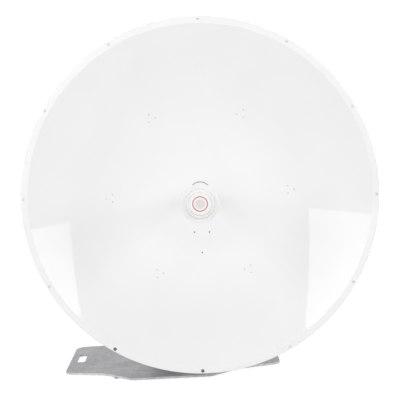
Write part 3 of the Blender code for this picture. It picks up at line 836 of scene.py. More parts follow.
# %% Rivet the dish
RIVET_CIRCLE = 0.310
RIVET_TRIANGLE = 0.0145
RIVET_RADIUS = 0.0023
RIVET_HEAD = 0.0011
RIVET_TAIL = 0.0016
SCREW_PLACES = ((-0.0267, -0.136), (0.0254, -0.138), (-0.0033, -0.2076))
SCREW_RADIUS = 0.0024
SCREW_HEAD = 0.0010
SCREW_DRIVE = [(0.0012, 0), (0.0012, 0.0013), (0.0008, 0.0016)]
SPOKES = [k * pi / 3 for k in range(6)]
DISH_SHEET = 0.0033
RIB_FOOT = 0.004


def dome(radius, height, sides=20):
    """A round head on the plane at height 0."""
    arcs = [radians(angle) for angle in (0, 15, 30, 45, 60, 75, 88)]
    return turned([(radius, -0.0003)] + [(radius * cos(a), height * sin(a)) for a in arcs], sides)


def off_bowl(radius, angle, lift=0.0, behind=False):
    """A matrix that stands a part on the bowl, square to its surface, in front or behind."""
    place = dish_place(radius, angle, lift)
    slope = radius / (2 * FOCAL_LENGTH)
    out = Vector((-slope * cos(angle), -1, -slope * sin(angle))).normalized()
    turn = (-out if behind else out).to_track_quat("Z", "Y").to_matrix().to_4x4()
    return at(*place, turn)


def rivet_places():
    """Radius and angle of the eighteen rivets."""
    for spoke in SPOKES:
        middle = Vector((RIVET_CIRCLE * cos(spoke), RIVET_CIRCLE * sin(spoke)))
        for corner in (0, 2 * pi / 3, 4 * pi / 3):
            spot = middle + RIVET_TRIANGLE * Vector((cos(spoke + corner), sin(spoke + corner)))
            yield spot.length, atan2(spot.y, spot.x)


heads, tails, screws = [], [], []
for radius, angle in rivet_places():
    behind_rib = off_bowl(radius, angle, -DISH_SHEET - RIB_FOOT, True)
    heads += moved([dome(RIVET_RADIUS, RIVET_HEAD)], off_bowl(radius, angle))
    tails += moved([dome(RIVET_RADIUS * 0.9, RIVET_TAIL)], behind_rib)
for x, z in SCREW_PLACES:
    screw = [dome(SCREW_RADIUS, SCREW_HEAD), turned(SCREW_DRIVE, 6)]
    screws += moved(screw, off_bowl(Vector((x, z)).length, atan2(z, x)))
piece("rivet_heads", heads, ZINC_PLATE, "zinc_plate")
piece("rivet_tails", tails, ZINC_PLATE, "zinc_plate")
piece("blackened_screws", screws, DARK_STEEL, "dark_steel")

# %% [markdown]
# ## Hot-dip galvanised steel
# The base, the mast and the mount are steel that was dipped in zinc. New zinc freezes in crystals, the
# spangle, and then weathers to a dull bluish grey that still differs from crystal to crystal. A Voronoi
# texture has just such cells: its random colour sets the tone and the shine of each one. A coarse cloud
# lies over them, and a low bump gives the lumpy skin that the bath leaves. Faces that look up are darker
# and upright ones and cut edges lighter, by the piece's own normal: partly weathering of the tops, partly
# a painted highlight on the faces that catch the lamps. A painted shade darkens the plate round the spot
# below the rim, where the dish shades it, and a painted highlight brightens the plate's front edge there.

# %% Make the galvanised finish
# tops darker and upright faces lighter: partly weathering, partly a painted highlight on faces that catch
# the lamps
TOP_ZINC = ((0.39, 0.38, 0.393), (0.53, 0.52, 0.53))
SIDE_ZINC_AND_SHEEN = ((0.56, 0.555, 0.56), (0.74, 0.73, 0.74))
# painted shade: the plate darkens towards the spot below the rim, where the dish shades it
PAINTED_DISH_SHADE = (0.30, 0.29, 0.30)
# painted highlight on the plate's front edge, away from the painted shade
PAINTED_EDGE_HIGHLIGHT = (0.85, 0.84, 0.84)
SHADE_FADES = (0.16, 0.38)
HIGHLIGHT_BEGINS = (0.20, 0.32)
HIGHLIGHT_ENDS = (0.08, 0.12)


def make_galvanised():
    """Zinc with spangle of about 7 mm and a lumpy skin, darker on top, with painted shade and highlight on
    the plate.
    """
    material, tree, shader = new_finish("galvanised_steel", metallic=0.88)
    where = places(tree)
    wobble = node(tree, "ShaderNodeTexNoise", {"Vector": where, "Scale": 90.0, "Detail": 2.0})
    bent = node(tree, "ShaderNodeVectorMath", {
        0: wobble.outputs["Color"], 1: (0.006, 0.006, 0.006), 2: where}, operation="MULTIPLY_ADD")
    cells = node(tree, "ShaderNodeTexVoronoi", {"Vector": bent.outputs[0], "Scale": 140.0})
    crystal = node(tree, "ShaderNodeSeparateXYZ", {"Vector": cells.outputs["Color"]})
    cloud = ramp(tree, noise(tree, where, 9, detail=6.0, roughness=0.6), 0, 1, 0.3, 0.7)
    # the normal picks the tone: upright faces and cut edges get the lighter one, partly as a painted
    # highlight
    normal = node(tree, "ShaderNodeTexCoord").outputs["Normal"]
    facing = node(tree, "ShaderNodeSeparateXYZ", {"Vector": normal}).outputs["Z"]
    from_rim = {"Vector": where, "Location": (0, -RIM_FACE, 0), "Scale": (1, 1, 0)}
    flat = node(tree, "ShaderNodeMapping", from_rim)
    off_shade_spot = node(tree, "ShaderNodeVectorMath", {0: flat.outputs[0]}, operation="LENGTH").outputs["Value"]
    top_tone = blend(tree, cloud, *TOP_ZINC)
    # painted shade of the dish on the plate, fading with distance from the spot below the rim
    top_tone = blend(tree, ramp(tree, off_shade_spot, 0.3, 1, *SHADE_FADES), PAINTED_DISH_SHADE, top_tone)
    side_tone = blend(tree, cloud, *SIDE_ZINC_AND_SHEEN)
    # painted highlight: the plate's front edge is made brighter, away from the dish's shade
    spot = node(tree, "ShaderNodeSeparateXYZ", {"Vector": where})
    on_plate = ramp(tree, spot.outputs["Z"], 1, 0, plate_high.z, plate_high.z + 0.001)
    in_front = ramp(tree, spot.outputs["Y"], 1, 0, *HIGHLIGHT_ENDS)
    edge_highlight = times(tree, times(tree, on_plate, in_front), ramp(tree, off_shade_spot, 0, 1, *HIGHLIGHT_BEGINS))
    side_tone = blend(tree, edge_highlight, side_tone, PAINTED_EDGE_HIGHLIGHT)
    base = blend(tree, ramp(tree, facing, 1, 0, 0.3, 0.8), top_tone, side_tone)
    light = blend(tree, crystal.outputs["X"], (0.80, 0.80, 0.81), (1, 1, 1))
    tone = node(tree, "ShaderNodeMix", data_type="RGBA", blend_type="MULTIPLY")
    tone.inputs[0].default_value = 1
    tree.links.new(base, tone.inputs[6])
    tree.links.new(light, tone.inputs[7])
    tree.links.new(tone.outputs[2], shader.inputs["Base Color"])
    tree.links.new(ramp(tree, crystal.outputs["Y"], 0.42, 0.60), shader.inputs["Roughness"])
    tree.links.new(bump(tree, noise(tree, where, 130, detail=3.0), 0.0004, 0.5), shader.inputs["Normal"])
    return material


GALVANISED = make_galvanised()
print("made", GALVANISED.name)

# %% [markdown]
# ## The base plate and its feet
# The antenna stands on one flat plate whose front tongue shows below the dish; two long slots are
# handholds. The plate was cut to shape, so its outline is a list of corners with a radius each, mirrored
# about the mast. Four hexagonal feet hold it off the ground.

# %% Cut the base plate
PLATE_EDGE = 0.0014
HALF_PLAN = [
    (0.136, RIM_FACE + 0.041, 0.022), (0.232, RIM_FACE + 0.139, 0.060), (0.380, RIM_FACE + 0.191, 0.036),
    (0.380, plate_high.y, 0.045)]
SLOT_OFFSET = 0.341
SLOT_Y = 0.243
SLOT_HALF_LENGTH = 0.072
SLOT_HALF_WIDTH = 0.015
FOOT_STUD = 0.006
FOOT_NECK = 0.0015


def make_base_plate():
    """The plate with its tongue and two hand slots."""
    corners = [(MAST.x + x, y, r) for x, y, r in HALF_PLAN]
    corners += [(MAST.x - x, y, r) for x, y, r in HALF_PLAN[::-1]]
    slots = [slot_hole(MAST.x + side * SLOT_OFFSET, SLOT_Y, SLOT_HALF_LENGTH, SLOT_HALF_WIDTH, True)
             for side in (-1, 1)]
    cut = plate(soften(corners, steps=12), plate_low.z, plate_high.z, PLATE_EDGE, slots)
    piece("slotted_base", [cut], GALVANISED, "galvanised_steel", "base_plate")


make_base_plate()
for foot in ("foot_front_left", "foot_front_right", "foot_rear_left", "foot_rear_right"):
    low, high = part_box(foot)
    middle = (low + high) / 2
    across = high.y - low.y
    stud = plain_rod(FOOT_STUD, high.z - 0.002, high.z, 24)
    stand = [hexagon(across, 0, high.z - FOOT_NECK), stud]
    piece("hex_" + foot, moved(stand, at(middle.x, middle.y, 0)), DARK_STEEL, "dark_steel", foot)

# %% [markdown]
# ## The mast's foot
# The mast is a tube welded to a round flange, with four gussets between them, and the flange is held
# down by four bolts between the gussets. The gussets are cut plate, set upright and turned round the
# mast. Every joint has its weld bead, which is what makes a welded foot look welded.

# %% Weld up the mast's foot
FLANGE_RADIUS = 0.100
FLANGE_LOW, FLANGE_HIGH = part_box("mast_foot_flange")[0].z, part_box("mast_foot_flange")[1].z
MAST_RADIUS = (mast_high.x - mast_low.x) / 2
MAST_WALL = 0.004
FOOT_BOLTS = [radians(45 + 90 * k) for k in range(4)]
FOOT_BOLT_CIRCLE = 0.081
FOOT_NUT = (0.019, 0.010, 0.006, 0.005)
GUSSET_HALF = 0.003
GUSSET = [
    (MAST_RADIUS + GAP, mast_low.z, 0.0005), (0.092, mast_low.z, 0.0005),
    (0.092, mast_low.z + 0.012, 0.003), (0.050, mast_low.z + 0.095, 0.005),
    (MAST_RADIUS + GAP, mast_low.z + 0.095, 0.0005)]
ON_MAST = at(MAST.x, MAST.y, 0)


def make_mast_foot():
    """Flange, gussets, welds and the bolts that hold the flange down."""
    rim = soften([
        (0.001, FLANGE_LOW, 0), (FLANGE_RADIUS, FLANGE_LOW, 0.0012),
        (FLANGE_RADIUS, FLANGE_HIGH, 0.0015), (0.001, FLANGE_HIGH, 0)], closed=False)
    flange = moved([turned(rim, 96)], ON_MAST)
    piece("foot_flange", flange, GALVANISED, "galvanised_steel", "mast_foot_flange")
    web = plate(soften(GUSSET), -GUSSET_HALF, GUSSET_HALF, 0.0007)
    level = FLANGE_HIGH + 0.0008
    for name, turn in (("right", 0), ("rear", pi / 2), ("left", pi), ("front", -pi / 2)):
        where = ON_MAST @ Matrix.Rotation(turn, 4, "Z")
        beads = []
        for side in (-GUSSET_HALF - 0.001, GUSSET_HALF + 0.001):
            beads.append(weld((0.040, side, level), (0.090, side, level), 0.0028, (0, 0, 1)))
            beads.append(weld((0.0385, side, 0.031), (0.0385, side, 0.1185), 0.0026, (1, 0, 0)))
        parts = moved([web], where @ FORWARDS) + moved(beads, where)
        piece("gusset_" + name, parts, GALVANISED, "galvanised_steel", "mast_gusset_" + name)
    bolts = []
    on_circle = at(FOOT_BOLT_CIRCLE, 0, FLANGE_HIGH)
    for turn in FOOT_BOLTS:
        where = ON_MAST @ Matrix.Rotation(turn, 4, "Z") @ on_circle
        bolts += moved(nut_end(*FOOT_NUT), where)
    piece("foot_bolts", bolts, ZINC_PLATE, "zinc_plate")


make_mast_foot()

# %% [markdown]
# ## The mast and its plug
# The mast is a drawn tube with a weld bead round its foot, so it is a turned ring and a rod bent into a
# circle. A black plug closes its top; its shoulder lies on the tube and its skirt goes inside.

# %% Raise the mast
BEAD_POINTS = 240
BEAD_SIZE = 0.0032
PLUG_SHOULDER = mast_high.z + GAP
wall = soften([
    (MAST_RADIUS - MAST_WALL, mast_low.z, 0.0008), (MAST_RADIUS, mast_low.z, 0.0008),
    (MAST_RADIUS, mast_high.z, 0.0010), (MAST_RADIUS - MAST_WALL, mast_high.z, 0.0010)])
ring = [Vector(point) for point in circle(MAST_RADIUS + 0.0008, BEAD_POINTS, FLANGE_HIGH + 0.0012)]
bead = sweep(ring, [BEAD_SIZE * (1.05 - 0.12 * (k % 2)) for k in range(BEAD_POINTS)], UP, 10, True)
mast = moved([turned(wall, 96, True), bead], ON_MAST)
piece("mast_tube", mast, GALVANISED, "galvanised_steel", "mast_pole")

CAP_LOW, CAP_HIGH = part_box("mast_cap")
plug = soften([
    (0.001, CAP_LOW.z, 0), (0.0337, CAP_LOW.z, 0.0015), (0.0337, PLUG_SHOULDER, 0.0004),
    (0.039, PLUG_SHOULDER, 0.0006), (0.039, CAP_HIGH.z - 0.003, 0.0010),
    (0.034, CAP_HIGH.z, 0.0040), (0.012, CAP_HIGH.z, 0.0005), (0.011, CAP_HIGH.z - 0.0008, 0.0004),
    (0.001, CAP_HIGH.z - 0.0008, 0)], closed=False)
piece("mast_plug", moved([turned(plug, 96)], ON_MAST), BLACK_PLASTIC, "black_plastic", "mast_cap")

# %% [markdown]
# ## The hub drum
# Behind the dish a drum carries the ribs and, on its wide flange, the mount. It is one turned part, hollow
# inside, whose front follows the back of the dish. The same antenna can be hung on either side of a
# mast, so the flange has bolt holes on both sides: four take the mount's bolts, four stay empty.

# %% Turn the drum
DRUM_RADIUS = 0.115
DRUM_WALL = 0.006
DRUM_BORE = 0.0378
DRUM_FLANGE = 0.008
DRUM_FLANGE_RADIUS = 0.165
DRUM_BOLT_CIRCLE = 0.150
DRUM_BOLTS = [radians(angle) for angle in (135, 165, 195, 225)]
SPARE_HOLES = [radians(angle) for angle in (-45, -15, 15, 45)]
SPARE_HOLE_RADIUS = 0.0045
DRILL_PAST = 0.004


def behind_dish(radius):
    """Where a part that lies against the dish's back begins."""
    return bowl_depth(radius) + DISH_SHEET


def on_drum(turn, y, facing):
    """A matrix for a part on the drum's bolt circle that looks forwards or backwards."""
    return at(DRUM_BOLT_CIRCLE * cos(turn), y, AXIS.z + DRUM_BOLT_CIRCLE * sin(turn), facing)


def make_drum():
    """The turned drum with its four spare holes."""
    flange_front = DRUM_BACK - DRUM_FLANGE
    inner = DRUM_RADIUS - DRUM_WALL
    steps = [DRUM_BORE + (DRUM_RADIUS - DRUM_BORE) * k / 8 for k in range(9)]
    corners = [(r, behind_dish(r), 0) for r in steps]
    corners += [
        (DRUM_RADIUS, flange_front, 0.004), (DRUM_FLANGE_RADIUS, flange_front, 0.0015),
        (DRUM_FLANGE_RADIUS, DRUM_BACK, 0.0015), (DRUM_BORE, DRUM_BACK, 0.0008),
        (DRUM_BORE, flange_front, 0.0005), (inner, flange_front, 0.003),
        (inner, behind_dish(inner) + DRUM_WALL, 0.003),
        (DRUM_BORE, behind_dish(DRUM_BORE) + DRUM_WALL, 0.0005)]
    drum = piece("drum", turned_ahead(corners, 128, True), GALVANISED, "galvanised_steel", "hub_drum")
    rod = plain_rod(SPARE_HOLE_RADIUS, -DRILL_PAST, DRUM_FLANGE + DRILL_PAST)
    rods = []
    for turn in SPARE_HOLES:
        rods += moved([rod], on_drum(turn, flange_front, BACKWARDS))
    drill(drum, rods)


make_drum()

# %% [markdown]
# ## The ribs
# Six T-shaped ribs run from the drum out to the rivets. The T is a rounded section that changes on its
# way: the foot grows wider, the web gets lower, and both follow the curve of the dish. Skinning sections
# at many distances gives all of that, and the last few sections narrow down to a round end.

# %% Loft the ribs
RIB_START = DRUM_RADIUS + GAP
RIB_END = 0.345
RIB_NOSE = 0.014
RIB_STATIONS = 30
RIB_HEEL = DRUM_BACK - DRUM_FLANGE - GAP
RIB_HALF = 0.012
RIB_WIDENS = 0.010
RIB_FULL_AT = 0.667
RIB_WEB_HALF = 0.0025
RIB_FALL = 0.57


def rib_section(r):
    """The T at a distance from the dish's axis, in (across, Y), anticlockwise."""
    along = (r - RIB_START) / (RIB_END - RIB_START)
    half = RIB_HALF + RIB_WIDENS * min(1.0, along / RIB_FULL_AT)
    past = max(0.0, r - (RIB_END - RIB_NOSE)) / RIB_NOSE
    half *= sqrt(1 - 0.7 * past ** 2)
    low = behind_dish(r)
    foot = low + RIB_FOOT
    top = min(RIB_HEEL, RIB_HEEL - RIB_FALL * (r - DRUM_FLANGE_RADIUS))
    web = RIB_WEB_HALF
    return soften([
        (-half, low, 0.0008), (half, low, 0.0008), (half, foot, 0.0015), (web, foot, 0.0020),
        (web, top, 0.0015), (-web, top, 0.0015), (-web, foot, 0.0020), (-half, foot, 0.0015)], steps=3)


def make_rib(number):
    """One rib, from the drum to just past its rivets."""
    span = RIB_END - RIB_START
    stations = [RIB_START + span * k / RIB_STATIONS for k in range(RIB_STATIONS)]
    stations += [RIB_END - RIB_NOSE * step for step in (0.3, 0.15, 0.05)] + [RIB_END]
    stations = sorted(set(stations))
    loops = [[(r, p.y, p.x) for p in rib_section(r)] for r in stations]
    loops[-1] = [(RIB_END, p.y, p.x) for p in inset(rib_section(RIB_END), 0.0007)]
    where = at(*AXIS, Matrix.Rotation(-SPOKES[number], 4, "Y"))
    name = str(number + 1)
    rib = moved([skin(loops)], where)
    piece("rib_" + name, rib, GALVANISED, "galvanised_steel", "back_rib_" + name)


for number in range(6):
    make_rib(number)

# %% [markdown]
# ## Behind the feed
# The tube ends in a round flange with six screws, a short rectangular neck and a square waveguide flange
# with four more. Nothing is connected to it here, so a black dust cover closes the opening, as it does
# when the antenna leaves the works.

# %% Make the feed's rear end
PORT_START = 0.0703
PORT_FLANGE = (0.1026, 0.1106)
PORT_NECK = ((-0.016, -0.011), (0.016, 0.011), 0.003)
PORT_SQUARE = ((-0.024, -0.024), (0.024, 0.024), 0.004)
REAR_SCREW_CIRCLE = 0.042
REAR_SCREW = (0.008, 0.0035, 0.0026)
PORT_SCREW_REACH = 0.018
PORT_SCREW = (0.0065, 0.0028, 0.0021)
REAR_FLANGE = [
    (0.0010, DRUM_BACK + GAP, 0), (0.0500, DRUM_BACK + GAP, 0.0008), (0.0500, PORT_START, 0.0020),
    (0.0240, PORT_START, 0.0004), (0.0235, PORT_START - GAP, 0.0003), (0.0010, PORT_START - GAP, 0)]
DUST_COVER = [
    (0.0010, 0.1109, 0), (0.0165, 0.1109, 0.0004), (0.0170, 0.1117, 0.0004), (0.0170, 0.1143, 0.0010),
    (0.0130, 0.1149, 0.0010), (0.0120, 0.1140, 0.0010), (0.0010, 0.1140, 0)]


def make_feed_rear():
    """Round flange, neck, square flange, dust cover and their screws."""
    flange = turned_ahead(REAR_FLANGE, 96)
    piece("rear_flange", flange, CAST_ALUMINIUM, "cast_aluminium", "feed_rear_flange")
    neck = plate(soften(oblong(*PORT_NECK)), PORT_START, PORT_FLANGE[0] + 0.004, 0.0003)
    port = [neck, plate(soften(oblong(*PORT_SQUARE)), *PORT_FLANGE, 0.0008)]
    piece("port", moved(port, at(*AXIS, BACKWARDS)), CAST_ALUMINIUM, "cast_aluminium", "waveguide_port")
    piece("dust_cover", turned_ahead(DUST_COVER, 64), BLACK_PLASTIC, "black_plastic", "port_cover")
    screws = []
    for k in range(6):
        turn = k * pi / 3 + pi / 6
        x, z = REAR_SCREW_CIRCLE * cos(turn), REAR_SCREW_CIRCLE * sin(turn)
        screws += moved(bolt_head(*REAR_SCREW), at(x, PORT_START, AXIS.z + z, BACKWARDS))
    for x in (-PORT_SCREW_REACH, PORT_SCREW_REACH):
        for z in (-PORT_SCREW_REACH, PORT_SCREW_REACH):
            screws += moved(bolt_head(*PORT_SCREW), at(x, PORT_FLANGE[1], AXIS.z + z, BACKWARDS))
    piece("feed_screws", screws, ZINC_PLATE, "zinc_plate")


make_feed_rear()

# %% [markdown]
# ## The yoke
# A plate bolted to the drum's flange and two cheeks welded square to it make the yoke that lets the
# dish be tilted. Each cheek has a round hole for the pivot bolt and a slot for the lock bolt, and is
# waisted between them to save weight. The cheeks are cut plate again, stood on edge by a matrix.

# %% Weld up the yoke
YOKE_FRONT, YOKE_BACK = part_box("yoke_plate")[0].y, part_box("yoke_plate")[1].y
BOLT_Y = 0.153
PIVOT_Z = -0.135
LOCK_Z = 0.145
CHANNEL_HALF = 0.062
CHEEK_STEEL = 0.006
CHEEK_FACES = (CHANNEL_HALF + GAP, CHANNEL_HALF + GAP + CHEEK_STEEL)
CHEEK = [
    (YOKE_BACK + GAP, -0.178, 0.0005), (0.150, -0.178, 0.025), (0.180, -0.158, 0.015),
    (0.180, -0.095, 0.012), (0.122, -0.055, 0.020), (0.122, 0.065, 0.020), (0.180, 0.100, 0.012),
    (0.180, 0.168, 0.022), (YOKE_BACK + GAP, 0.183, 0.0005)]
PIVOT_HOLE = (0.0083, 0.0083)
LOCK_SLOT = (0.020, 0.0063)
SIDEWAYS = Matrix(((0, 0, 1, 0), (1, 0, 0, 0), (0, 1, 0, 0), (0, 0, 0, 1)))


def make_yoke():
    """Plate, cheeks, welds and the bolts through the drum's flange."""
    low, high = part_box("yoke_plate")
    flat = plate(soften(oblong((low.x, low.z), (high.x, high.z), 0.005)), -YOKE_BACK, -YOKE_FRONT, 0.001)
    piece("yoke_back_plate", moved([flat], FORWARDS), GALVANISED, "galvanised_steel", "yoke_plate")
    outline = soften(CHEEK, steps=8)
    pivot_hole = slot_hole(BOLT_Y, PIVOT_Z, *PIVOT_HOLE, False)
    lock_slot = slot_hole(BOLT_Y, LOCK_Z, *LOCK_SLOT, False)
    for name, side in (("left", -1), ("right", 1)):
        near, far = sorted(side * face for face in CHEEK_FACES)
        cut = plate(outline, near, far, 0.0008, [pivot_hole, lock_slot])
        cheek = moved([cut], at(MAST.x, 0, AXIS.z, SIDEWAYS))
        for x in (near - 0.0008, far + 0.0008):
            foot = (MAST.x + x, YOKE_BACK + 0.0010, AXIS.z - 0.172)
            cheek.append(weld(foot, (foot[0], foot[1], AXIS.z + 0.176), 0.0030, (1, 0, 0)))
        piece("cheek_" + name, cheek, GALVANISED, "galvanised_steel", "yoke_cheek_" + name)
    bolts = []
    for turn in DRUM_BOLTS:
        rear, front = on_drum(turn, YOKE_BACK, BACKWARDS), on_drum(turn, DRUM_BACK - DRUM_FLANGE, FORWARDS)
        bolts += moved(bolt_head(*SMALL_HEAD), rear) + moved(nut_end(*SMALL_NUT), front)
    piece("yoke_bolts", bolts, ZINC_PLATE, "zinc_plate")


make_yoke()

# %% [markdown]
# ## The clamp on the mast
# A channel of bent plate lies against two cast saddles, and two U-bolts pull it onto the mast. The
# channel's bends are round outside and tight inside, which a section with a radius at each corner gives
# directly. A U-bolt is a rod along a path of two legs and a half circle; its radius wavers where the
# thread is cut.

# %% Bend the channel and shape the saddles
CHANNEL_FRONT = 0.135
CHANNEL_BACK = 0.172
CHANNEL_STEEL = 0.006
CHANNEL_HALF_HEIGHT = 0.170
SADDLE_MOUTH = 0.028
SADDLE_HALF = 0.034
SADDLE_HALF_HEIGHT = 0.019


def make_channel():
    """The bent channel that the cheeks swing on."""
    inner = CHANNEL_HALF - CHANNEL_STEEL
    web = CHANNEL_FRONT + CHANNEL_STEEL
    section = soften([
        (-CHANNEL_HALF, CHANNEL_FRONT, 0.008), (CHANNEL_HALF, CHANNEL_FRONT, 0.008),
        (CHANNEL_HALF, CHANNEL_BACK, 0.0008), (inner, CHANNEL_BACK, 0.0008), (inner, web, 0.003),
        (-inner, web, 0.003), (-inner, CHANNEL_BACK, 0.0008), (-CHANNEL_HALF, CHANNEL_BACK, 0.0008),
    ], steps=6)
    bent = plate(section, -CHANNEL_HALF_HEIGHT, CHANNEL_HALF_HEIGHT, 0.0006)
    channel = moved([bent], at(MAST.x, 0, AXIS.z))
    piece("clamp_channel", channel, GALVANISED, "galvanised_steel", "pole_channel")


def make_saddle(name, rise):
    """A cast block with a hollow for the mast."""
    hollow = MAST_RADIUS + GAP
    front = CHANNEL_FRONT + CHANNEL_STEEL + GAP
    mouth = MAST.y - sqrt(hollow ** 2 - SADDLE_MOUTH ** 2)
    reach = atan2(SADDLE_MOUTH, MAST.y - mouth)
    turns = [reach * (1 - k / 12) for k in range(25)]
    arc = [(hollow * sin(turn), MAST.y - hollow * cos(turn), 0) for turn in turns]
    outline = [(-SADDLE_HALF, front, 0.003), (SADDLE_HALF, front, 0.003), (SADDLE_HALF, mouth, 0.002),
               *arc, (-SADDLE_HALF, mouth, 0.002)]
    block = plate(soften(outline), rise - SADDLE_HALF_HEIGHT, rise + SADDLE_HALF_HEIGHT, 0.0015)
    saddle = moved([block], at(MAST.x, 0, AXIS.z))
    piece(name + "_cast_saddle", saddle, CAST_ALUMINIUM, "cast_aluminium", name + "_saddle")


make_channel()

# %% Bend the U-bolts and fit both clamps
CLAMPS = (("upper", 0.075), ("lower", -0.075))
U_ROD = 0.006
U_LEG = MAST_RADIUS + GAP + U_ROD
U_TIP = 0.1177
U_THREAD_END = 0.168
U_RIDGE = 0.00075
U_NUT = (0.0187, 0.0080, 0.0062)


def make_u_bolt(name, rise):
    """Rod, washers and nuts of one U-bolt."""
    rows = round((U_THREAD_END - U_TIP) / U_RIDGE)
    leg = [U_TIP + (U_THREAD_END - U_TIP) * k / rows for k in range(rows + 1)]
    cut = [U_ROD - (0.0015 if k == 0 else 0.0007 * (k % 2)) for k in range(rows + 1)]
    bend = [Vector((-U_LEG * cos(pi * k / 32), MAST.y + U_LEG * sin(pi * k / 32), 0)) for k in range(33)]
    path = [Vector((-U_LEG, y, 0)) for y in leg] + bend + [Vector((U_LEG, y, 0)) for y in leg[::-1]]
    parts = [sweep(path, cut + [U_ROD] * len(bend) + cut[::-1], UP, 20)]
    for x in (-U_LEG, U_LEG):
        parts += moved(bolt_head(*U_NUT), at(x, CHANNEL_FRONT, 0, FORWARDS))
    clamp = moved(parts, at(MAST.x, 0, AXIS.z + rise))
    piece(name + "_u_clamp", clamp, ZINC_PLATE, "zinc_plate", name + "_u_bolt")


for level, rise in CLAMPS:
    make_saddle(level, rise)
    make_u_bolt(level, rise)

# %% [markdown]
# ## The tilt hardware
# The pivot bolt carries the dish, the lock bolt clamps it through the slots, and a threaded rod between
# a square cross bar and the channel sets the angle. All of it is fasteners made above, laid along X for
# the bolts and along Y for the rod.

# %% Fit the bolts, the rod and the cross bar
CHEEK_FACE = CHEEK_FACES[1] + 0.0001
ROD_Z = 0.115
ROD_RADIUS = 0.006
ROD_ENDS = (0.0762, 0.160)
BAR = (0.084, 0.104)
BAR_HALF = 0.011
ROD_NUTS = (
    (0.0757, BAR[0]), (BAR[1], 0.1140), (0.1250, CHANNEL_FRONT), (CHANNEL_FRONT + CHANNEL_STEEL, 0.1510))


def make_cross_bolt(name, radius, rise, node_name):
    """A bolt right through both cheeks and the channel."""
    across = radius * 1.75 * 2 * cos(pi / 6)
    thick = radius * 1.25 - across * WASHER_THICK
    head = moved(bolt_head(across, thick, radius * BORE_EASE), at(-CHEEK_FACE, 0, 0, LEFTWARDS))
    end = moved(nut_end(across, thick, radius, 0.0058), at(CHEEK_FACE, 0, 0, RIGHTWARDS))
    shank = moved([plain_rod(radius, -CHEEK_FACE, CHEEK_FACE)], RIGHTWARDS)
    parts = moved(head + shank + end, at(MAST.x, BOLT_Y, AXIS.z + rise))
    piece(name, parts, ZINC_PLATE, "zinc_plate", node_name)


def make_tilt_rod():
    """The threaded rod with its four nuts, and the cross bar with a screw at each end."""
    rod = [thread(ROD_RADIUS, *ROD_ENDS)] + [hexagon(U_NUT[0], low, high) for low, high in ROD_NUTS]
    place = at(MAST.x, 0, AXIS.z + ROD_Z, BACKWARDS)
    piece("tilt_rod", moved(rod, place), ZINC_PLATE, "zinc_plate", "elevation_rod")
    outline = soften(oblong((-CHANNEL_HALF, -BAR_HALF), (CHANNEL_HALF, BAR_HALF), 0.0015))
    bar = plate(outline, *BAR, 0.001)
    piece("cross_bar", moved([bar], place), GALVANISED, "galvanised_steel", "rod_trunnion")
    screws = []
    for side, turn in ((-1, LEFTWARDS), (1, RIGHTWARDS)):
        spot = at(MAST.x + side * CHEEK_FACE, sum(BAR) / 2, AXIS.z + ROD_Z, turn)
        screws += moved(bolt_head(*SMALL_HEAD), spot)
    piece("cross_bar_screws", screws, ZINC_PLATE, "zinc_plate")


make_cross_bolt("pivot_bolt", 0.008, PIVOT_Z, "elevation_pivot_bolt")
make_cross_bolt("lock_bolt", 0.006, LOCK_Z, "elevation_lock_bolt")
make_tilt_rod()

# %% [markdown]
# ## The studio's light
# The photograph has a white background and very soft light. The world is the studio's walls: a bright
# part straight ahead lights the bowl, a mild one overhead lifts its lower half, a brighter one behind is
# for the views of the back, and a small dim one by the camera is what the flat rim mirrors. Each is a
# soft round patch about a direction, with one brightness for the light that it gives and another for its
# image in the gloss: at full strength the bowl's mirror would draw a dark disc round the feed, the image
# of the cap's back. What the camera itself sees behind the object is always plain white.

# %% Light the world
WHITE = (1, 1, 1, 1)
WORLD_LIGHT = 0.60
WORLD_SEEN = 1.05
PATCH_CORE = 0.35
# each patch: azimuth, elevation and radius in degrees, then its light and its brightness in the gloss
AHEAD = (0, 8, 34, 2.85, 1.2)
BEHIND_CAMERA = (4, -1.5, 15, 0.3, 0.05)
OVERHEAD = (0, 78, 58, 0.69, 0.53)
BEHIND = (180, 15, 75, 1.0, 1.0)


def heading(azimuth, elevation):
    """A direction from the dish; azimuth is from straight ahead towards +X, in degrees."""
    across, up = radians(azimuth), radians(elevation)
    return Vector((sin(across) * cos(up), -cos(across) * cos(up), sin(up)))


def mixed_number(tree, factor, first, second):
    """A socket between two numbers or sockets."""
    return node(tree, "ShaderNodeMix", {0: factor, 2: first, 3: second}).outputs[0]


def make_world():
    """A white studio with dim and bright parts that only light and gloss can see."""
    world = bpy.data.worlds.new("studio")
    bpy.context.scene.world = world
    world.use_nodes = True
    tree = world.node_tree
    tree.nodes.clear()
    direction = node(tree, "ShaderNodeTexCoord").outputs["Generated"]
    ray = node(tree, "ShaderNodeLightPath")
    strength = WORLD_LIGHT
    for azimuth, elevation, radius, light, mirrored in (AHEAD, BEHIND_CAMERA, OVERHEAD, BEHIND):
        facing = node(tree, "ShaderNodeVectorMath", {0: direction, 1: heading(azimuth, elevation)},
                      operation="DOT_PRODUCT").outputs["Value"]
        spot = ramp(tree, facing, 0, 1, cos(radians(radius)), cos(radians(radius * PATCH_CORE)))
        given = mixed_number(tree, ray.outputs["Is Glossy Ray"], light, mirrored)
        strength = mixed_number(tree, spot, strength, given)
    studio = node(tree, "ShaderNodeBackground", {"Color": WHITE, "Strength": strength})
    plain = node(tree, "ShaderNodeBackground", {"Color": WHITE, "Strength": WORLD_SEEN})
    mixed = node(tree, "ShaderNodeMixShader", {
        0: ray.outputs["Is Camera Ray"], 1: studio.outputs[0], 2: plain.outputs[0]})
    node(tree, "ShaderNodeOutputWorld", {"Surface": mixed.outputs[0]})


make_world()
print("the world is lit")

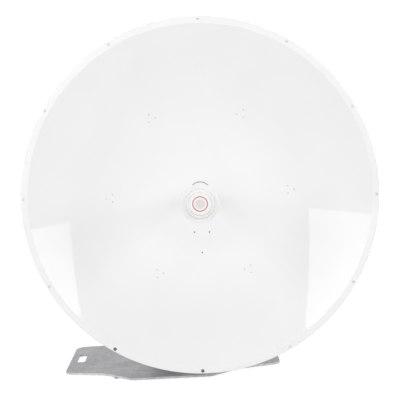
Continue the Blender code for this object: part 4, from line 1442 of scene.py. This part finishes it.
# %% [markdown]
# ## Soft boxes and floor
# Two tall soft boxes stand in front of the dish, one at each side. Their mirror images are the bright
# shapes low on the right and on the left of the bowl, because a hollow mirror turns the picture round,
# and tracing the corners of those images back gave the places of the lamps. The feed's tube and cap cast
# the two soft wings of shadow on the bowl. One lamp can't be bright enough in the mirror and gentle
# enough on the paint at once, so each box is slices that only gloss sees, brighter towards the top, and
# one lamp just behind them that gives the light and the shadow.

# %% Hang the soft boxes
SOFT_BOX_LIGHT = (2.1, 2.45, 2.7, 2.75)
LAMP_SHARE = 0.7
LAMP_BEHIND = 1.03


def area_lamp(name, place, height, width, energy):
    """An upright rectangle of light in a plane across X that shines towards the studio's middle."""
    lamp = bpy.data.objects.new(name, bpy.data.lights.new(name, "AREA"))
    bpy.context.scene.collection.objects.link(lamp)
    lamp.data.shape = "RECTANGLE"
    lamp.data.size = height
    lamp.data.size_y = width
    lamp.data.energy = energy
    lamp.location = place
    lamp.rotation_euler = (0, pi / 2 if place[0] > 0 else -pi / 2, 0)
    lamp.visible_camera = False
    return lamp


def soft_box(name, x, y_range, z_range, energy):
    """One lamp for light and shadow, and slices that brighten upwards for its mirror image."""
    slices = len(SOFT_BOX_LIGHT)
    height = (z_range[1] - z_range[0]) / slices
    width = y_range[1] - y_range[0]
    y = sum(y_range) / 2
    place = (x * LAMP_BEHIND, y, sum(z_range) / 2)
    middle = area_lamp(name, place, height * slices * LAMP_SHARE, width * LAMP_SHARE, energy)
    middle.visible_glossy = False
    for k, light in enumerate(SOFT_BOX_LIGHT):
        place = (x, y, z_range[0] + height * (k + 0.5))
        part = area_lamp(f"{name}_{k + 1}", place, height, width, light * pi * height * width)
        part.visible_diffuse = False


soft_box("soft_box_right", x=2.0, y_range=(-2.42, -1.5), z_range=(0.68, 2.3), energy=20)
soft_box("soft_box_left", x=-2.0, y_range=(-2.90, -1.5), z_range=(0.70, 3.0), energy=28)
print("slices in each soft box:", len(SOFT_BOX_LIGHT))

# %% Lay the floor
FLOOR_SEEN = 0.92
FLOOR_GLOW = 0.63
FLOOR_HALF = 6
FLOOR_DROP = 0.0002


def make_floor():
    """A pale floor that glows a little, more so for the camera, and takes a faint contact shade."""
    material, tree, shader = new_finish("pale_floor", roughness=0.9, emission_strength=1.0)
    shader.inputs["Base Color"].default_value = (0.12, 0.12, 0.12, 1)
    seen = node(tree, "ShaderNodeLightPath").outputs["Is Camera Ray"]
    tree.links.new(mixed_number(tree, seen, FLOOR_GLOW, FLOOR_SEEN), shader.inputs["Emission Strength"])
    shader.inputs["Emission Color"].default_value = WHITE
    sheet = [(x * FLOOR_HALF, y * FLOOR_HALF, 0) for x, y in ((-1, -1), (1, -1), (1, 1), (-1, 1))]
    mesh = bpy.data.meshes.new("floor")
    mesh.from_pydata(sheet, [], [(0, 1, 2, 3)])
    mesh.materials.append(material)
    floor = bpy.data.objects.new("floor", mesh)
    floor.location.z = -FLOOR_DROP
    bpy.context.scene.collection.objects.link(floor)


make_floor()
bpy.context.scene.view_settings.view_transform = "Standard"
print("the floor is", 2 * FLOOR_HALF, "m wide")
